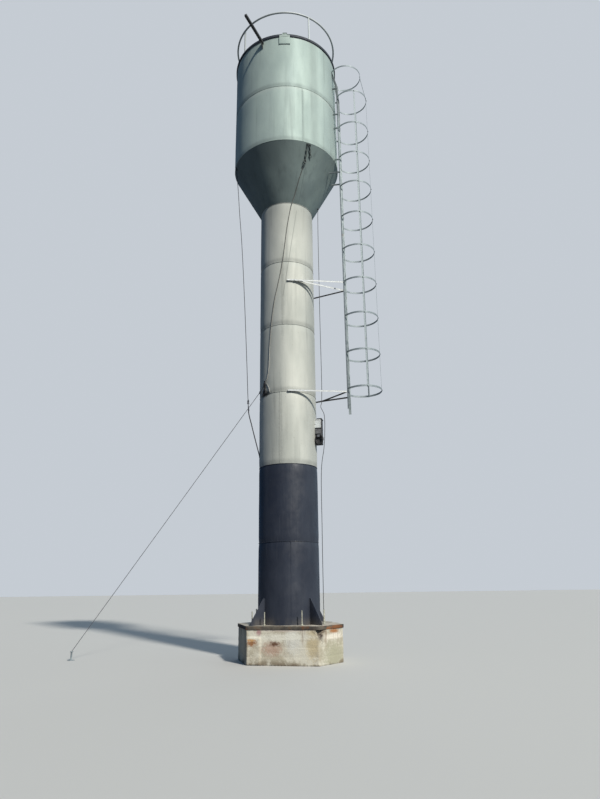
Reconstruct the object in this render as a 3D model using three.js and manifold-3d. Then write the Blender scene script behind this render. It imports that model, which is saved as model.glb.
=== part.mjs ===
// Steel water tower of the kind put up on farms: a welded tube column on a six-sided concrete
// block carries a round tank with a cone bottom, a low roof and a hand rail round the roof.
// A caged ladder hangs beside it on two brackets. Slings, a cable and one stay are still on it.
//
// Millimetres. +Z is up, the origin is on the column's axis at the underside of the block.
// -Y is the front, +X is the ladder's side.

import * as THREE from 'three';
import { mergeVertices } from 'three/addons/utils/BufferGeometryUtils.js';
import Module from 'manifold-3d';

const wasm = await Module();
wasm.setup();

// Driving dimensions

const GAP = 0.3;

const BLOCK_HEIGHT = 640;
const BLOCK_CORNERS = [
  [520, -930],
  [1000, -350],
  [780, 620],
  [-520, 930],
  [-1000, 350],
  [-780, -620],
];
const CHIP_WIDTH = 90;
const CHIP_HEIGHT = 220;
const PLATE_SCALE = 1.014;
const PLATE_INSIDE_SCALE = 1.003;
const PLATE_THICKNESS = 20;
const PLATE_RIM_DROP = 42;
const PLATE_TOP = BLOCK_HEIGHT + PLATE_THICKNESS;

const COLUMN_RADIUS = 600;
const COLUMN_WALL = 6;
const COURSE_HEIGHT = 1500;
const COLUMN_COURSES = 6;
const COLUMN_TOP = PLATE_TOP + COLUMN_COURSES * COURSE_HEIGHT;
const COLUMN_SIDES = 48;

const TANK_RADIUS = 1240;
const TANK_WALL = 5;
const CONE_HEIGHT = 1190;
const TANK_FLOOR = COLUMN_TOP + CONE_HEIGHT;
const TANK_TOP = TANK_FLOOR + 2 * COURSE_HEIGHT;
const TANK_SIDES = 64;

const ROOF_RADIUS = 1264;
const ROOF_EDGE = 8;
const ROOF_RIM = 72;
const ROOF_RISE = 190;
const ROOF_SHEET = 5;
const HATCH_PLACE = new THREE.Vector2(640, -150);
const HATCH_RADIUS = 300;
const HATCH_WALL = 6;
const HATCH_TOP = TANK_TOP + 330;
const HATCH_LID_RADIUS = 335;
const HATCH_LID_THICKNESS = 14;

const RAIL_RADIUS = 1235;
const RAIL_HEIGHT = 707;
const RAIL_TUBE = 21;
const RAIL_POST_ANGLES = [-63, -144, 117, 36];

const GUSSET_COUNT = 4;
const GUSSET_FIRST = -50;
const GUSSET_HEIGHT = 470;
const GUSSET_REACH = 325;
const GUSSET_TOE = 40;
const GUSSET_THICKNESS = 12;

const LADDER_PLACE = new THREE.Vector2(1285, -300);
const LADDER_TURN = -9;
const LADDER_FOOT = 4800;
const LADDER_BEND = 13030;
const LADDER_HEAD = 13520;
const NEAR_LEAN = 140;
const FAR_LEAN = 72;
const STILE_SPACING = 460;
const ANGLE_LEG = 50;
const ANGLE_THICKNESS = 5;
const RUNG_RADIUS = 10;
const RUNG_PITCH = 410;
const FIRST_RUNG = 5200;
const RUNG_COUNT = 20;
const STANDOFF_LEVELS = [10550, 10905, 11800, 12210, 12980];

const HOOP_LEVELS = [5230, 6040, 6880, 7705, 8510, 9350, 10160, 10960, 11800, 12720, 13490];
const HOOP_REACH = 688;
const TOP_HOOP_SHIFT = 118;
const STRAP_WIDTH = 40;
const STRAP_THICKNESS = 5;
const CAGE_BAR_WIDTH = 32;
const CAGE_BAR_ANGLES = [-74, 0, 74];
const CAGE_FOOT = 5205;

const UPPER_BRACKET = 7690;
const LOWER_BRACKET = 5170;
const BRACKET_LEG = 34;
const BRACKET_THICKNESS = 4;

const LUG_WIDTH = 250;
const LUG_BOTTOM = TANK_TOP - 306;
const LUG_DEPTH = 58;
const LUG_SHOULDER = TANK_TOP - 4;
const LUG_EAR_WIDTH = 110;
const LUG_EAR_TOP = TANK_TOP + 40;

const OUTRIGGER_ANGLE = -116;
const OUTRIGGER_LEVEL = TANK_TOP - 120;
const OUTRIGGER_LENGTH = 830;
const OUTRIGGER_SIZE = 56;

const ROPE_RADIUS = 8;
const SIDE_ROPE_RADIUS = 7;
const KNOT_LEVEL = 5360;
const KNOT_ANGLE = -142;
const STAY_RADIUS = 6;
const STAY_HEAD = 5300;
const STAY_ANCHOR = [-4300, 600];
const STAKE_HEIGHT = 160;
const CABLE_RADIUS = 6;

const BOX_LOW = 4130;
const BOX_HIGH = 4705;
const BOX_ANGLE = -14;
const BOX_DEPTH = 155;
const BOX_WIDTH = 150;
const DOOR_LOW = 4470;
const DOOR_HIGH = 4650;

// Colours

const SILVER = 0xa9b3ab;
const SHADED_SILVER = 0x6f7c7a;
const BITUMEN = 0x2e3134;
const CONCRETE = 0xc2b79c;
const PLATE_GREY = 0x6e6a5e;
const BARE_STEEL = 0x8d9a9b;
const ROPE_BROWN = 0x4c4a47;
const CABLE_BLACK = 0x1f2124;
const BOX_WHITE = 0xcfd3cc;

const tower = new THREE.Group();

// Adds one named piece in its own colour

function addPiece(name, geometry, color, roughness = 0.5, metalness = 0.4) {
  const material = new THREE.MeshStandardMaterial({ color, roughness, metalness });
  const mesh = new THREE.Mesh(geometry, material);
  mesh.name = name;
  tower.add(mesh);
  return mesh;
}

// Merges shared corners and turns the faces outwards, so that the shape is one closed body

function closed(geometry) {
  const bare = geometry.clone();
  bare.deleteAttribute('normal');
  bare.deleteAttribute('uv');
  const merged = mergeVertices(bare, 1e-3);
  const place = merged.attributes.position;
  const order = Array.from(merged.index.array);
  const corners = [new THREE.Vector3(), new THREE.Vector3(), new THREE.Vector3()];
  let volume = 0;
  for (let i = 0; i < order.length; i += 3) {
    corners.forEach((corner, k) => corner.fromBufferAttribute(place, order[i + k]));
    volume += corners[0].dot(corners[1].clone().cross(corners[2]));
  }
  if (volume < 0) {
    for (let i = 0; i < order.length; i += 3) {
      [order[i], order[i + 1]] = [order[i + 1], order[i]];
    }
  }
  merged.setIndex(order);
  return merged;
}

function toSolid(geometry) {
  const merged = closed(geometry);
  const mesh = new wasm.Mesh({
    numProp: 3,
    vertProperties: new Float32Array(merged.attributes.position.array),
    triVerts: new Uint32Array(merged.index.array),
  });
  return new wasm.Manifold(mesh);
}

function toGeometry(solid) {
  const mesh = solid.getMesh();
  const geometry = new THREE.BufferGeometry();
  geometry.setAttribute('position', new THREE.BufferAttribute(mesh.vertProperties, 3));
  geometry.setIndex(new THREE.BufferAttribute(mesh.triVerts, 1));
  return geometry;
}

function joined(geometries) {
  const solids = geometries.map(toSolid);
  return solids.reduce((whole, next) => whole.add(next));
}

// A ring or disc turned from [radius, height] points round the Z axis

function turned(profile, sides) {
  const points = profile.map(([radius, height]) => new THREE.Vector2(radius, height));
  const geometry = new THREE.LatheGeometry(points, sides);
  geometry.rotateX(Math.PI / 2);
  return closed(geometry);
}

function ringProfile(inner, outer, low, high) {
  return [[inner, low], [outer, low], [outer, high], [inner, high], [inner, low]];
}

function discProfile(radius, low, high) {
  return [[0, low], [radius, low], [radius, high], [0, high]];
}

// A flat outline of [x, y] points raised from low to high

function raised(outline, low, high) {
  const shape = new THREE.Shape(outline.map(([x, y]) => new THREE.Vector2(x, y)));
  const geometry = new THREE.ExtrudeGeometry(shape, { depth: high - low, bevelEnabled: false });
  geometry.translate(0, 0, low);
  return geometry;
}

function scaled(outline, factor) {
  return outline.map(([x, y]) => [x * factor, y * factor]);
}

// A round rope or bar along a smooth curve through points

function alongPoints(points, radius, sides, steps) {
  const curve = new THREE.CatmullRomCurve3(points.map(([x, y, z]) => new THREE.Vector3(x, y, z)));
  const section = new THREE.Shape();
  section.absarc(0, 0, radius, 0, 2 * Math.PI);
  const outline = new THREE.Shape(section.getPoints(sides / 4).slice(0, -1));
  const geometry = new THREE.ExtrudeGeometry(outline, {
    steps,
    curveSegments: sides,
    extrudePath: curve,
    bevelEnabled: false,
  });
  return closed(geometry);
}

// A straight bar of square-cornered section between two points, level in its width

function straightBar(from, to, width, height) {
  const start = new THREE.Vector3(...from);
  const end = new THREE.Vector3(...to);
  const run = end.clone().sub(start);
  const geometry = new THREE.BoxGeometry(run.length(), width, height);
  const along = run.clone().normalize();
  const across = new THREE.Vector3(0, 0, 1).cross(along).normalize();
  const up = along.clone().cross(across);
  geometry.applyMatrix4(new THREE.Matrix4().makeBasis(along, across, up));
  const middle = start.add(end).multiplyScalar(0.5);
  geometry.translate(middle.x, middle.y, middle.z);
  return geometry;
}

function roundPoint(radius, degrees, height) {
  const angle = THREE.MathUtils.degToRad(degrees);
  return [radius * Math.cos(angle), radius * Math.sin(angle), height];
}

function turnedTo(geometry, degrees) {
  geometry.rotateZ(THREE.MathUtils.degToRad(degrees));
  return geometry;
}

// The space that the column fills, grown by the gap, for cutting what meets it

function columnSpace() {
  return toSolid(turned(discProfile(COLUMN_RADIUS + GAP, 0, TANK_TOP), COLUMN_SIDES));
}

function tankSpace() {
  return toSolid(turned(discProfile(TANK_RADIUS + GAP, TANK_FLOOR, TANK_TOP + 10), TANK_SIDES));
}

function coneRadius(height) {
  const share = (height - COLUMN_TOP) / CONE_HEIGHT;
  return COLUMN_RADIUS + (TANK_RADIUS - COLUMN_RADIUS) * share;
}

function coneSpace() {
  const profile = [
    [0, COLUMN_TOP - 200],
    [COLUMN_RADIUS + GAP, COLUMN_TOP - 200],
    [COLUMN_RADIUS + GAP, COLUMN_TOP - GAP],
    [TANK_RADIUS + GAP, TANK_FLOOR - GAP],
    [TANK_RADIUS + GAP, TANK_FLOOR + 300],
    [0, TANK_FLOOR + 300],
  ];
  return toSolid(turned(profile, TANK_SIDES));
}

function roofHeight(radius) {
  return TANK_TOP + ROOF_EDGE + ROOF_RISE * (1 - radius / ROOF_RADIUS);
}

function roofSpace() {
  const profile = [
    [0, TANK_TOP - 100],
    [ROOF_RADIUS, TANK_TOP - 100],
    [ROOF_RADIUS, roofHeight(ROOF_RADIUS) + GAP],
    [0, roofHeight(0) + GAP],
  ];
  return toSolid(turned(profile, TANK_SIDES));
}

// Foundation: a six-sided block. The front right corner is broken off under the plate's rim.

function foundationBlock() {
  const body = toSolid(raised(BLOCK_CORNERS, 0, BLOCK_HEIGHT));
  const [cornerX, cornerY] = BLOCK_CORNERS[0];
  const chip = new THREE.ConeGeometry(CHIP_WIDTH, CHIP_HEIGHT, 3);
  chip.rotateX(-Math.PI / 2);
  chip.translate(cornerX + 22, cornerY - 30, BLOCK_HEIGHT + 5 - CHIP_HEIGHT / 2);
  return toGeometry(body.subtract(toSolid(chip)));
}

// Base plate: a flat six-sided plate with a rim turned down round the block's top

function basePlate() {
  const outline = scaled(BLOCK_CORNERS, PLATE_SCALE);
  const inside = scaled(BLOCK_CORNERS, PLATE_INSIDE_SCALE);
  const outer = toSolid(raised(outline, BLOCK_HEIGHT - PLATE_RIM_DROP, PLATE_TOP));
  const hollow = toSolid(raised(inside, 0, BLOCK_HEIGHT + GAP));
  return toGeometry(outer.subtract(hollow));
}

// Gussets: upright triangular ribs between the column's foot and the base plate

function gusset(degrees) {
  const inner = COLUMN_RADIUS - 20;
  const outer = COLUMN_RADIUS + GUSSET_REACH;
  const outline = [
    [inner, 0],
    [outer, 0],
    [outer, GUSSET_TOE],
    [COLUMN_RADIUS + 30, GUSSET_HEIGHT],
    [inner, GUSSET_HEIGHT],
  ];
  const rib = raised(outline, -GUSSET_THICKNESS / 2, GUSSET_THICKNESS / 2);
  rib.rotateX(Math.PI / 2);
  rib.translate(0, 0, PLATE_TOP + GAP);
  return toGeometry(toSolid(turnedTo(rib, degrees)).subtract(columnSpace()));
}

// Column: six rolled and welded courses of steel plate

function columnCourse(number) {
  const low = PLATE_TOP + (number - 1) * COURSE_HEIGHT;
  const profile = ringProfile(COLUMN_RADIUS - COLUMN_WALL, COLUMN_RADIUS, low, low + COURSE_HEIGHT);
  return turned(profile, COLUMN_SIDES);
}

// Tank bottom: an upside-down cone between the column and the tank's wall

function tankCone() {
  const profile = [
    [COLUMN_RADIUS - COLUMN_WALL, COLUMN_TOP],
    [COLUMN_RADIUS, COLUMN_TOP],
    [TANK_RADIUS, TANK_FLOOR],
    [TANK_RADIUS - TANK_WALL, TANK_FLOOR],
    [COLUMN_RADIUS - COLUMN_WALL, COLUMN_TOP],
  ];
  return turned(profile, TANK_SIDES);
}

function tankCourse(number) {
  const low = TANK_FLOOR + (number - 1) * COURSE_HEIGHT;
  const profile = ringProfile(TANK_RADIUS - TANK_WALL, TANK_RADIUS, low, low + COURSE_HEIGHT);
  return turned(profile, TANK_SIDES);
}

// Roof: a low cone of sheet that stands out a little past the wall, and a hatch hole

function roof() {
  const profile = [
    [0, TANK_TOP + ROOF_EDGE + ROOF_RISE - ROOF_SHEET],
    [TANK_RADIUS - 30, roofHeight(TANK_RADIUS - 30) - ROOF_SHEET],
    [TANK_RADIUS - 30, TANK_TOP],
    [ROOF_RADIUS, TANK_TOP],
    [ROOF_RADIUS, TANK_TOP + ROOF_EDGE],
    [0, TANK_TOP + ROOF_EDGE + ROOF_RISE],
  ];
  const sheet = toSolid(turned(profile, TANK_SIDES));
  const hole = turned(discProfile(HATCH_RADIUS - HATCH_WALL - 15, TANK_TOP - 50, HATCH_TOP), 24);
  hole.translate(HATCH_PLACE.x, HATCH_PLACE.y, 0);
  return toGeometry(sheet.subtract(toSolid(hole)));
}

// Rim: a flat ring bent round the top of the wall, under the roof's edge

function roofRim() {
  const [low, high] = [TANK_TOP - ROOF_RIM, TANK_TOP - GAP];
  return turned(ringProfile(TANK_RADIUS + GAP, ROOF_RADIUS - 2, low, high), TANK_SIDES);
}

// Hatch: a round neck on the roof with its lid shut, beside the ladder's head

function roofHatch() {
  const neck = turned(ringProfile(HATCH_RADIUS - HATCH_WALL, HATCH_RADIUS, TANK_TOP, HATCH_TOP), 24);
  const lidTop = HATCH_TOP + HATCH_LID_THICKNESS;
  const lid = turned(discProfile(HATCH_LID_RADIUS, HATCH_TOP - 0.5, lidTop), 24);
  const skirt = turned(ringProfile(HATCH_RADIUS + 20, HATCH_LID_RADIUS, HATCH_TOP - 30, HATCH_TOP), 24);
  const grip = straightBar([-90, 0, lidTop + 30], [90, 0, lidTop + 30], 16, 16);
  const leftPost = straightBar([-82, 0, lidTop + 15], [-66, 0, lidTop + 15], 16, 34);
  const rightPost = straightBar([66, 0, lidTop + 15], [82, 0, lidTop + 15], 16, 34);
  const hatch = joined([neck, lid, skirt, grip, leftPost, rightPost]);
  return toGeometry(hatch.translate([HATCH_PLACE.x, HATCH_PLACE.y, 0]).subtract(roofSpace()));
}

// Rail: one ring of tube on short posts round the roof's edge

function roofRail() {
  const ring = new THREE.TorusGeometry(RAIL_RADIUS, RAIL_TUBE, 8, TANK_SIDES);
  ring.translate(0, 0, TANK_TOP + RAIL_HEIGHT);
  const pieces = [ring];
  for (const degrees of RAIL_POST_ANGLES) {
    const post = turned(discProfile(RAIL_TUBE - 3, TANK_TOP, TANK_TOP + RAIL_HEIGHT), 8);
    post.translate(RAIL_RADIUS, 0, 0);
    pieces.push(turnedTo(post, degrees));
  }
  return toGeometry(joined(pieces).subtract(roofSpace()));
}

// Lifting lugs: a box under the roof's edge with an ear that stands up in front of it

function liftingLug(degrees) {
  const inner = TANK_RADIUS - 40;
  const outer = TANK_RADIUS + LUG_DEPTH;
  const box = new THREE.BoxGeometry(outer - inner, LUG_WIDTH, LUG_SHOULDER - LUG_BOTTOM);
  box.translate((inner + outer) / 2, 0, (LUG_SHOULDER + LUG_BOTTOM) / 2);
  const ear = new THREE.BoxGeometry(outer - inner, LUG_EAR_WIDTH, LUG_EAR_TOP - LUG_SHOULDER + 20);
  ear.translate((inner + outer) / 2, 0, (LUG_EAR_TOP + LUG_SHOULDER - 20) / 2);
  const rimFoot = TANK_TOP - ROOF_RIM - GAP;
  const roofEdge = turned(discProfile(ROOF_RADIUS + GAP, rimFoot, LUG_EAR_TOP + 50), TANK_SIDES);
  const blank = joined([turnedTo(box, degrees), turnedTo(ear, degrees)]);
  return toGeometry(blank.subtract(tankSpace()).subtract(toSolid(roofEdge)));
}

// Outrigger: a square bar that stands straight out under the roof's edge, with a small rib

function outrigger() {
  const inner = TANK_RADIUS - 30;
  const bar = straightBar(
    [inner, 0, OUTRIGGER_LEVEL],
    [TANK_RADIUS + OUTRIGGER_LENGTH, 0, OUTRIGGER_LEVEL],
    OUTRIGGER_SIZE,
    OUTRIGGER_SIZE,
  );
  const outline = [[inner, -170], [TANK_RADIUS + 12, -170], [TANK_RADIUS + 170, 0], [inner, 0]];
  const rib = raised(outline, -5, 5);
  rib.rotateX(Math.PI / 2);
  rib.translate(0, 0, OUTRIGGER_LEVEL);
  const welded = joined([turnedTo(bar, OUTRIGGER_ANGLE), turnedTo(rib, OUTRIGGER_ANGLE)]);
  return toGeometry(welded.subtract(tankSpace()));
}

// Ladder and cage share one upright frame: x points away from the tank, y runs across the rungs

function placeLadder(geometry) {
  turnedTo(geometry, LADDER_TURN);
  geometry.translate(LADDER_PLACE.x, LADDER_PLACE.y, 0);
  return geometry;
}

function ladderPoint(out, across) {
  const turn = THREE.MathUtils.degToRad(LADDER_TURN);
  return [
    LADDER_PLACE.x + out * Math.cos(turn) - across * Math.sin(turn),
    LADDER_PLACE.y + out * Math.sin(turn) + across * Math.cos(turn),
  ];
}

function stile(side) {
  const edge = (side * STILE_SPACING) / 2;
  const leg = side * ANGLE_LEG;
  const web = side * ANGLE_THICKNESS;
  const back = -ANGLE_LEG / 2;
  const outline = [
    [back, edge],
    [back + ANGLE_LEG, edge],
    [back + ANGLE_LEG, edge - web],
    [back + ANGLE_THICKNESS, edge - web],
    [back + ANGLE_THICKNESS, edge - leg],
    [back, edge - leg],
  ];
  return raised(side > 0 ? outline.reverse() : outline, LADDER_FOOT, LADDER_BEND);
}

// Above the bend each stile leans in until it meets the tank's wall

function leaningStile(side) {
  const across = side * (STILE_SPACING / 2 - ANGLE_THICKNESS / 2);
  const lean = side < 0 ? NEAR_LEAN : FAR_LEAN;
  return straightBar(
    [0, across, LADDER_BEND - 30],
    [-lean, across, LADDER_HEAD],
    ANGLE_THICKNESS,
    ANGLE_LEG,
  );
}

function ladder() {
  const pieces = [stile(1), stile(-1), leaningStile(1), leaningStile(-1)];
  for (let i = 0; i < RUNG_COUNT; i += 1) {
    const rung = new THREE.CylinderGeometry(RUNG_RADIUS, RUNG_RADIUS, STILE_SPACING - 2, 8);
    rung.translate(8, 0, FIRST_RUNG + RUNG_PITCH * i);
    pieces.push(rung);
  }
  for (const level of STANDOFF_LEVELS) {
    for (const side of [-1, 1]) {
      const across = side * (STILE_SPACING / 2 - 6);
      pieces.push(straightBar([-260, across, level], [10, across, level], 8, 40));
    }
  }
  const whole = joined(pieces.map(placeLadder));
  return toGeometry(whole.subtract(tankSpace()).subtract(coneSpace()));
}

// Cage hoops: flat strap bent through the outer reach and back to both stiles

function hoopCircle() {
  const half = STILE_SPACING / 2 + GAP;
  const radius = (half * half + HOOP_REACH * HOOP_REACH) / (2 * HOOP_REACH);
  return { radius, centre: HOOP_REACH - radius, half };
}

function hoop(level) {
  const { radius, centre, half } = hoopCircle();
  const top = level === HOOP_LEVELS[HOOP_LEVELS.length - 1];
  const start = Math.atan2(half, -centre);
  const shape = new THREE.Shape();
  shape.absarc(centre, 0, radius + STRAP_THICKNESS, start, -start, true);
  shape.absarc(centre, 0, radius, -start, start, false);
  const strap = new THREE.ExtrudeGeometry(shape, {
    depth: STRAP_WIDTH,
    curveSegments: 20,
    bevelEnabled: false,
  });
  strap.translate(top ? -TOP_HOOP_SHIFT : 0, 0, level - STRAP_WIDTH / 2);
  placeLadder(strap);
  return top ? toGeometry(toSolid(strap).subtract(tankSpace())) : closed(strap);
}

// The side bars end at the second hoop from the top, and the outer one leans in to the last

function cageBar(degrees) {
  const { radius, centre } = hoopCircle();
  const [high, top] = HOOP_LEVELS.slice(-2);
  const outer = radius - 1;
  const inner = outer - STRAP_THICKNESS;
  const shift = TOP_HOOP_SHIFT + 8;
  const outline = [[inner, CAGE_FOOT], [outer, CAGE_FOOT], [outer, high + STRAP_WIDTH / 2]];
  if (degrees === 0) {
    outline.push([outer - shift, top], [inner - shift, top]);
  }
  outline.push([inner, high + STRAP_WIDTH / 2]);
  const bar = raised(outline, -CAGE_BAR_WIDTH / 2, CAGE_BAR_WIDTH / 2);
  bar.rotateX(Math.PI / 2);
  turnedTo(bar, degrees);
  bar.translate(centre, 0, 0);
  return closed(placeLadder(bar));
}

// Brackets: angle bars that carry the ladder off the column

function levelAngle(from, to, level) {
  const [fromX, fromY] = from;
  const [toX, toY] = to;
  const shelf = level + (BRACKET_LEG - BRACKET_THICKNESS) / 2;
  const ends = [[fromX, fromY, level], [toX, toY, level]];
  const shelfEnds = [[fromX, fromY, shelf], [toX, toY, shelf]];
  const upright = straightBar(...ends, BRACKET_THICKNESS, BRACKET_LEG);
  const flat = straightBar(...shelfEnds, BRACKET_LEG, BRACKET_THICKNESS);
  return [upright, flat];
}

function stileSpace() {
  const grow = ANGLE_LEG / 2 + GAP;
  const out = STILE_SPACING / 2 + GAP;
  const space = new THREE.BoxGeometry(2 * grow, 2 * out, LADDER_HEAD - LADDER_FOOT + 200);
  space.translate(0, 0, (LADDER_HEAD + LADDER_FOOT) / 2);
  return toSolid(placeLadder(space));
}

const NEAR_STILE = ladderPoint(-10, 25 - STILE_SPACING / 2);
const FAR_STILE = ladderPoint(-10, STILE_SPACING / 2 - 25);
const FRONT_PAD = [0, -622];
const SIDE_PAD = [430, 375];
const FORK = [760, 170];

function upperBracket() {
  const bars = [
    ...levelAngle(FRONT_PAD, NEAR_STILE, UPPER_BRACKET),
    ...levelAngle([150, -622], FAR_STILE, UPPER_BRACKET),
    ...levelAngle(SIDE_PAD, FAR_STILE, UPPER_BRACKET),
    ...levelAngle(NEAR_STILE, FAR_STILE, UPPER_BRACKET),
  ];
  return toGeometry(joined(bars).subtract(columnSpace()).subtract(stileSpace()));
}

function lowerBracket() {
  const bars = [
    ...levelAngle(FRONT_PAD, NEAR_STILE, LOWER_BRACKET),
    ...levelAngle(SIDE_PAD, FORK, LOWER_BRACKET),
    ...levelAngle(FORK, NEAR_STILE, LOWER_BRACKET),
    ...levelAngle(FORK, FAR_STILE, LOWER_BRACKET),
  ];
  return toGeometry(joined(bars).subtract(columnSpace()).subtract(stileSpace()));
}

// Slings: a rope comes down the cone and the front of the column to a knot, another hangs
// clear of the column at its left side, and both are made fast to the column

const ROPE_SEAT = COLUMN_RADIUS + ROPE_RADIUS + 3;

function coneSeat(degrees, height) {
  return roundPoint(coneRadius(height) + ROPE_RADIUS + 6, degrees, height);
}

function frontRope() {
  const points = [
    roundPoint(coneRadius(10830) - 20, -66.4, 10830),
    coneSeat(-66.7, 10770),
    coneSeat(-67.4, 10600),
    coneSeat(-68.8, 10330),
    coneSeat(-72.5, 10080),
    coneSeat(-76.5, 9820),
    roundPoint(ROPE_SEAT + 18, -83, 9560),
    roundPoint(ROPE_SEAT, -89.5, 9000),
    roundPoint(ROPE_SEAT, -99, 8177),
    roundPoint(ROPE_SEAT, -107.3, 7450),
    roundPoint(ROPE_SEAT, -121.9, 6552),
    roundPoint(ROPE_SEAT, -129.5, 5887),
    roundPoint(ROPE_SEAT, -132.5, 5600),
    roundPoint(ROPE_SEAT + 2, -137, 5495),
    roundPoint(ROPE_SEAT + 4, -138.6, 5456),
  ];
  const rope = toSolid(alongPoints(points, ROPE_RADIUS, 8, 44));
  return toGeometry(rope.subtract(toSolid(ropeKnot(GAP))).subtract(coneSpace()));
}

function knotRing(shift, level, size, tilt, grow) {
  const ring = new THREE.TorusGeometry(size, ROPE_RADIUS + 2 + grow, 8, 16);
  ring.scale(1, 1.5, 1);
  ring.rotateZ(tilt);
  ring.rotateX(Math.PI / 2);
  ring.rotateZ(Math.PI / 2);
  ring.translate(ROPE_SEAT + 6 + shift, 0, level);
  return turnedTo(ring, KNOT_ANGLE);
}

// Below the knot the rope's two ends part and are laid round the column, one to each side

function ropeKnot(grow = 0) {
  const radius = COLUMN_RADIUS + ROPE_RADIUS;
  const leftEnd = [[-142, 30], [-148, -10], [-155, -45], [-163, -62], [-170.5, -70]];
  const rightEnd = [[-142, 20], [-138, -50], [-134, -120], [-130, -180], [-124, -205], [-117, -212]];
  const legs = [leftEnd, rightEnd].map((end) => {
    const points = end.map(([degrees, rise]) => roundPoint(radius, degrees, KNOT_LEVEL + rise));
    return alongPoints(points, ROPE_RADIUS + grow, 8, 16);
  });
  const coils = [
    knotRing(-3, KNOT_LEVEL + 52, 30, 0.25, grow),
    knotRing(9, KNOT_LEVEL + 24, 34, -0.3, grow),
    knotRing(-3, KNOT_LEVEL - 2, 28, 0.1, grow),
  ];
  return toGeometry(joined([...legs, ...coils]).subtract(columnSpace()));
}

function sideRope() {
  const points = [
    coneSeat(-166, 10790),
    [-1135, -300, 10250],
    [-1085, -300, 9550],
    [-1030, -300, 8880],
    [-940, -300, 7370],
    [-860, -300, 5730],
    [-832, -298, 5090],
    [-812, -290, 4780],
    [-757, -238, 4555],
    [-698, -188, 4320],
    [-604, -110, 3960],
    [-540, -57, 3720],
  ];
  const rope = toSolid(alongPoints(points, SIDE_ROPE_RADIUS, 8, 60));
  return toGeometry(rope.subtract(columnSpace()).subtract(coneSpace()));
}

// Stay: a taut rope from the knot's level down to a short steel stake in the ground

function stayRope() {
  const [anchorX, anchorY] = STAY_ANCHOR;
  const head = roundPoint(COLUMN_RADIUS - 25, -173, STAY_HEAD);
  const foot = [anchorX, anchorY, STAKE_HEIGHT - 2];
  const rope = toSolid(alongPoints([head, foot], STAY_RADIUS, 8, 1));
  const stake = toSolid(stayStake(GAP));
  return toGeometry(rope.subtract(columnSpace()).subtract(stake));
}

function stayStake(grow = 0) {
  const [anchorX, anchorY] = STAY_ANCHOR;
  const rod = turned(discProfile(16 + grow, 0, STAKE_HEIGHT), 12);
  const head = turned(discProfile(32 + grow, STAKE_HEIGHT - 8, STAKE_HEIGHT + 6 + grow), 12);
  const foot = turned(discProfile(70, 0, 8), 16);
  const stake = toGeometry(joined([rod, head, foot]));
  stake.translate(anchorX, anchorY, 0);
  return stake;
}

// Hanging cable: from the cone's underside down past the box to the base plate

function hangingCable() {
  const points = [
    [745, 0, 9960],
    [735, 0, 9600],
    [728, 0, 7300],
    [722, -20, 5100],
    [700, -60, 4980],
    [762, -105, 4800],
    [768, -105, 4400],
    [745, -90, 4080],
    [690, -40, 3700],
    [672, -20, 2400],
    [668, -10, PLATE_TOP - 60],
  ];
  const cable = toSolid(alongPoints(points, CABLE_RADIUS, 8, 70));
  const floor = toSolid(raised(scaled(BLOCK_CORNERS, 1), 0, PLATE_TOP + GAP));
  return toGeometry(cable.subtract(coneSpace()).subtract(floor));
}

// Switch box on the column's right: a black housing with a white door on its upper half, and
// a coil of black cable hung in front of its lower half

function switchBox() {
  const middle = COLUMN_RADIUS - 10 + BOX_DEPTH / 2;
  const box = new THREE.BoxGeometry(BOX_DEPTH, BOX_WIDTH, BOX_HIGH - BOX_LOW);
  box.translate(middle, 0, (BOX_HIGH + BOX_LOW) / 2);
  const lip = new THREE.BoxGeometry(BOX_DEPTH + 16, BOX_WIDTH + 30, 16);
  lip.translate(middle, 0, BOX_HIGH);
  const whole = joined([turnedTo(box, BOX_ANGLE), turnedTo(lip, BOX_ANGLE)]);
  return toGeometry(whole.subtract(columnSpace()));
}

function boxDoor() {
  const door = new THREE.BoxGeometry(140, 12, DOOR_HIGH - DOOR_LOW);
  door.translate(COLUMN_RADIUS + 46, -BOX_WIDTH / 2 - 6 - GAP, (DOOR_HIGH + DOOR_LOW) / 2);
  return toGeometry(toSolid(turnedTo(door, BOX_ANGLE)).subtract(columnSpace()));
}

function cableCoil() {
  const front = -BOX_WIDTH / 2 - GAP;
  const coils = [0, 1, 2].map((i) => {
    const ring = new THREE.TorusGeometry(52 + 4 * i, CABLE_RADIUS + 4, 8, 20);
    ring.scale(1, 1.5, 1);
    ring.rotateX(Math.PI / 2);
    ring.translate(COLUMN_RADIUS + 82 - 3 * i, front - 12 - 15 * i, BOX_LOW + 130 - 5 * i);
    return turnedTo(ring, BOX_ANGLE);
  });
  const peg = new THREE.BoxGeometry(24, 62, 18);
  peg.translate(COLUMN_RADIUS + 80, front - 31, BOX_LOW + 130 + 74);
  coils.push(turnedTo(peg, BOX_ANGLE));
  return toGeometry(joined(coils));
}

// The pieces in the order in which the tower is put together

addPiece('foundation_block', foundationBlock(), CONCRETE, 0.95, 0);
addPiece('base_plate', basePlate(), PLATE_GREY, 0.7, 0.4);
for (let i = 0; i < GUSSET_COUNT; i += 1) {
  addPiece(`gusset_${i + 1}`, gusset(GUSSET_FIRST - (360 / GUSSET_COUNT) * i), BITUMEN, 0.5, 0.1);
}
for (let number = 1; number <= COLUMN_COURSES; number += 1) {
  const color = number <= 2 ? BITUMEN : SILVER;
  addPiece(`column_course_${number}`, columnCourse(number), color, 0.45, 0.4);
}
addPiece('tank_cone', tankCone(), SHADED_SILVER, 0.5, 0.4);
addPiece('tank_lower_course', tankCourse(1), SILVER, 0.45, 0.5);
addPiece('tank_upper_course', tankCourse(2), SILVER, 0.45, 0.5);
addPiece('tank_roof', roof(), SHADED_SILVER, 0.5, 0.4);
addPiece('roof_rim', roofRim(), BITUMEN, 0.5, 0.2);
addPiece('roof_hatch', roofHatch(), SILVER, 0.5, 0.4);
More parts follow.
